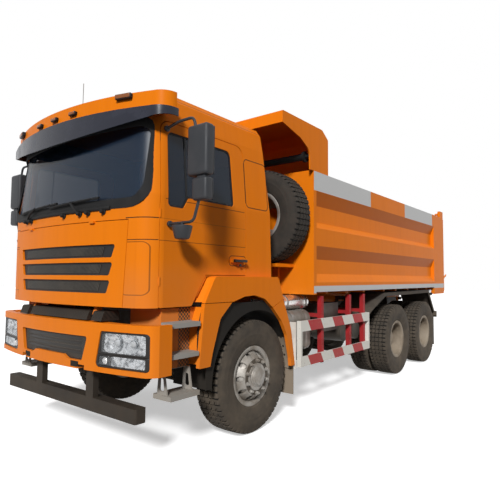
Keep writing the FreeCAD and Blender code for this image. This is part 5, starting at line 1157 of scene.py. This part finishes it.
# Wipers along the foot of the screen, with their bosses on the cowl; sweeps are (pivot, from, to)
wiperLook = {
    "bosses": (-0.66, -0.54, 0.12, 0.36, 0.47, 0.66), "sweeps": ((-0.60, -0.78, 0.02), (0.36, -0.10, 0.62)),
    "boss": [
        (-0.004, 0.0), (-0.004, 0.026), (0.010, 0.026), (0.014, 0.019), (0.036, 0.017), (0.042, 0.012), (0.042, 0.0),
    ],
    "rail": (-0.82, 0.052, 31, 2.128), "foot": 2.100,
}
bm = bmesh.new()
for x in wiperLook["bosses"]:
    addTurned(bm, wiperLook["boss"], *cabPlace(x, wiperLook["foot"]), 20)
start, step, count, z = wiperLook["rail"]
addTube(bm, [cabPlace(start + step * k, z)[0] + Vector((0, -0.004, 0)) for k in range(count)], 0.018, 10)
for pivot, low, high in wiperLook["sweeps"]:
    middle = (low + high) / 2
    arm = ((pivot, wiperLook["foot"], 0.030), ((pivot + middle) / 2, 2.165, 0.047), (middle, 2.205, 0.040))
    places = [(cabPlace(x, z), stand) for x, z, stand in arm]
    addTube(bm, bent([place + normal * stand for (place, normal), stand in places], 0.05), 0.011, 10)
    shares = [k / 8 for k in range(9)]
    places = [cabPlace(low + (high - low) * t, 2.188 + 0.030 * t) for t in shares]
    blade = [place + normal * 0.021 for place, normal in places]
    addTube(bm, blade, 0.0125, 8)
    addTube(bm, [p + Vector((0, -0.014, 0)) for p in blade[1:-1]], 0.0085, 8)
piece("wipers", bm, "cab", "rubberTrim", "dark_plastic")

# Roof: marker lamps on the visor, aerial; markers are (x, z, half width, half height, depth)
markers = [(x, 3.000, 0.046, 0.017, 0.030) for x in (-0.290, 0.0, 0.285)]
markers += [(x, 3.048, 0.080, 0.022, 0.034) for x in (-0.870, 0.870)]
visorSkin = surfaceOf("roof_visor")
bm = bmesh.new()
amber = bmesh.new()
for x, z, wide, high, deep in markers:
    place, normal = frontPlace(visorSkin, x, z)
    turned = Matrix((upwards.cross(normal).normalized(), -normal, upwards)).transposed().to_4x4()
    lens = (amber, 0.008, -deep - 0.004, -deep + 0.01, 0.003)
    for target, shrink, front, back, soft in ((bm, 0.0, -deep, 0.012, 0.008), lens):
        block = bmesh.new()
        across, tall = wide - shrink, high - shrink * 0.7
        addBlock(block, (-across, front, -tall), (across, back, tall), soft, 3)
        mesh = shaped("marker", block)
        mesh.transform(Matrix.Translation(place) @ turned)
        target.from_mesh(mesh)
piece("markerLamps", bm, "cab", "lampBlack", "dark_plastic")
piece("markerLenses", amber, "cab", "amberDark", "smoked_plastic")
bm = bmesh.new()
root = frontPlace(visorSkin, 0.360, 3.040)[0]
addTube(bm, [root + Vector((0, 0.030, 0.020)), root + Vector((0, 0.032, 0.235))], 0.0035, 8)
aerialFoot = [(0.0, 0.0), (0.0, 0.013), (0.022, 0.008), (0.040, 0.004), (0.040, 0.0)]
addTurned(bm, aerialFoot, root + Vector((0, 0.030, 0.022)), upwards, 16)
piece("aerial", bm, "cab", "boltGrey", "alloy")
print("roof trim made")

# Tanks: straps, silencer clamps with their lugs, filler caps; corners are (x, z, radius)
tankLook = {
    "oil": [(0.640, 0.700, 0.06), (1.110, 0.700, 0.06), (1.110, 1.165, 0.11), (0.640, 1.165, 0.11)],
    "fuel": [(-1.110, 0.560, 0.07), (-0.480, 0.560, 0.07), (-0.480, 1.050, 0.11), (-1.110, 1.050, 0.11)],
    "straps": (("oil", (0.775, 1.060)), ("fuel", (0.900, 1.330, 1.770))), "strapWidth": 0.048, "strapThick": 0.004,
    "clamps": (0.800, 1.205), "clamp": [(0.0, 0.086), (0.0, 0.092), (0.030, 0.092), (0.030, 0.086)],
    "caps": ((0.960, 0.735, 1.163), (-0.900, 1.120, 1.048)),
    "cap": [
        (-0.012, 0.0), (-0.012, 0.046), (0.006, 0.046), (0.008, 0.038), (0.012, 0.038), (0.014, 0.043), (0.030, 0.043),
        (0.034, 0.038), (0.034, 0.0),
    ],
}


def addHoop(bm, corners, y, width, thick):
    middle = sum((Vector(c[:2]) for c in corners), Vector((0, 0))) / 4
    ring = roundedOutline(corners, 8)
    outer, inner = ([p + (p - middle).normalized() * out for p in ring] for out in (thick * 1.3, -0.002))
    section = ((outer, y), (outer, y + width), (inner, y + width), (inner, y))
    addSkin(bm, [[bm.verts.new(at(p.x, along, p.y)) for p in line] for line, along in section], around=True)


bm = bmesh.new()
for tank, places in tankLook["straps"]:
    for y in places:
        addHoop(bm, tankLook[tank], y, tankLook["strapWidth"], tankLook["strapThick"])
for y in tankLook["clamps"]:
    addTurned(bm, tankLook["clamp"], at(0.940, y, 1.258), (0, 1, 0), 48, closed=True)
    addBlock(bm, at(0.930, y + 0.003, 1.160), at(0.950, y + 0.027, 1.176), 0.002, 1)
piece("tankStraps", bm, "chassis", "boltGrey", "alloy")
bm = bmesh.new()
for cap in tankLook["caps"]:
    addTurned(bm, tankLook["cap"], at(*cap), upwards, 32)
piece("fillerCaps", bm, "chassis", "lampBlack", "dark_plastic")

# White plates on the front ends of the side guards, and catches on the tailgate
bm = bmesh.new()
guardEnd = ((1.236, 0.545), (1.214, 0.545), (1.158, 1.058), (1.236, 1.058))
addPlate(bm, [at(x, 0.655, z) for x, z in guardEnd], (0, 0.010, 0))
twinPiece("guardEnds", bm, "chassis", "guardWhite", "white_paint")
bm = bmesh.new()
addBlock(bm, at(1.175, 6.500, 1.560), at(1.236, 6.556, 1.622), 0.006, 2)
addTube(bm, bent([at(1.213, 6.550, 1.592), at(1.220, 6.640, 1.596), at(1.226, 6.680, 1.640)], 0.03), 0.014, 10)
twinPiece("gateCatches", bm, "gate", "orangePaint", "orange_paint")

# Small lamps on the rear ends of the mudguards: lens, housing and bracket, and a round housing under them
sideLook = {
    "place": at(1.176, 5.672, 1.308), "axis": (1, -1.4, 0),
    "lowPlace": at(1.176, 5.705, 1.262), "lowAxis": (1, -0.4, -0.3),
    "lens": [(0.0, 0.0), (0.0, 0.030), (0.012, 0.037), (0.024, 0.034), (0.032, 0.0)],
    "housing": [(-0.02, 0.0), (-0.02, 0.020), (0.0, 0.035), (0.003, 0.035), (0.003, 0.0)],
    "low": [(-0.035, 0.0), (-0.035, 0.027), (0.040, 0.030), (0.044, 0.024), (0.044, 0.0)],
}
bm = bmesh.new()
addTurned(bm, sideLook["lens"], sideLook["place"], sideLook["axis"], 28)
twinPiece("sideLamps", bm, "chassis", "clearLens", "clear_glass")
bm = bmesh.new()
addBlock(bm, at(1.120, 5.455, 1.293), at(1.190, 5.700, 1.305), 0.003, 1)
addTurned(bm, sideLook["housing"], sideLook["place"], sideLook["axis"], 28)
addTurned(bm, sideLook["low"], sideLook["lowPlace"], sideLook["lowAxis"], 24)
twinPiece("sideLampMounts", bm, "chassis", "lampBlack", "dark_plastic")

# Rear lamps: lenses from and to x in the black boxes
rearLook = {
    "rearAmber": ("amberLens", "smoked_plastic", ((0.900, 1.010),)),
    "rearRed": ("redLens", "red_paint", ((0.770, 0.890), (1.100, 1.155))),
    "rearClear": ("clearLens", "clear_glass", ((1.020, 1.090),)),
}
for name, (finish, slotName, spans) in rearLook.items():
    bm = bmesh.new()
    for low, high in spans:
        addBlock(bm, at(low, 6.176, 0.788), at(high, 6.194, 0.872), 0.005, 2)
    twinPiece(name, bm, "chassis", finish, slotName)
print("lamps and tanks made")

# Camera where the photograph was taken from
cameraLook = {"place": (4.0067, -6.1753, 1.5541), "yaw": 38.1716, "pitch": 3.4329, "roll": 0.4205, "lens": 32.886}
yaw, pitch, roll = (math.radians(cameraLook[k]) for k in ("yaw", "pitch", "roll"))
ahead = Vector((-math.sin(yaw) * math.cos(pitch), math.cos(yaw) * math.cos(pitch), math.sin(pitch)))
level = ahead.cross(upwards).normalized()
up = level.cross(ahead)
axes = (level * math.cos(roll) + up * math.sin(roll), up * math.cos(roll) - level * math.sin(roll), -ahead)
camera = linked("camera", bpy.data.cameras.new("camera"))
camera.data.lens = cameraLook["lens"]
camera.data.sensor_width = 36.0
camera.data.clip_end = 200.0
camera.matrix_world = Matrix.Translation(cameraLook["place"]) @ Matrix(axes).transposed().to_4x4()
bpy.context.scene.camera = camera

# Floor, world and lamp; the floor and the sky look brighter to the camera than they light the truck
stageLook = {
    "floorSeen": 0.96, "floorBounce": 0.12, "floorLift": 0.48, "floorHalf": 60, "sky": 0.22,
    "key": 3.5, "keyFrom": (0.58, -1.0, 0.69), "keySoft": 9.0,
}


def seenShare(nodes):
    rays = nodes.node("ShaderNodeLightPath", out="Is Camera Ray")
    return rays.most(rays.other("Is Glossy Ray")).most(rays.other("Is Transmission Ray"))


f = Finish("paleFloor")
seen = seenShare(f)
bounce, shown, lift = (rgb(v, v, v) for v in (stageLook["floorBounce"], stageLook["floorSeen"], stageLook["floorLift"]))
glow = f.blend(rgb(0, 0, 0), lift, seen)
f.shade(f.blend(bounce, shown, seen), 0.9 + 0.05 * f.noise(0.5), specular=0.0, glow=glow, glowStrength=1.0)
half = stageLook["floorHalf"]
floorMesh = bpy.data.meshes.new("floor")
corners = [(x * half, y * half, -0.001) for x, y in ((-1, -1), (1, -1), (1, 1), (-1, 1))]
floorMesh.from_pydata(corners, [], [(0, 1, 2, 3)])
floorMesh.materials.append(f.material)
floor = linked("floor", floorMesh)

world = bpy.data.worlds.new("studio")
bpy.context.scene.world = world
world.use_nodes = True
studio = Nodes(world.node_tree)
strength = seenShare(studio) * (1 - stageLook["sky"]) + stageLook["sky"]
sky = studio.node("ShaderNodeBackground", sockets={"Color": rgb(1, 1, 1), "Strength": strength})
studio.node("ShaderNodeOutputWorld", sockets={"Surface": sky})

key = linked("keyLamp", bpy.data.lights.new("keyLamp", "SUN"))
key.data.energy = stageLook["key"]
key.data.angle = math.radians(stageLook["keySoft"])
key.matrix_world = Vector(stageLook["keyFrom"]).to_track_quat("Z", "Y").to_matrix().to_4x4()

bpy.context.scene.view_settings.view_transform = "Standard"
print("stage set")
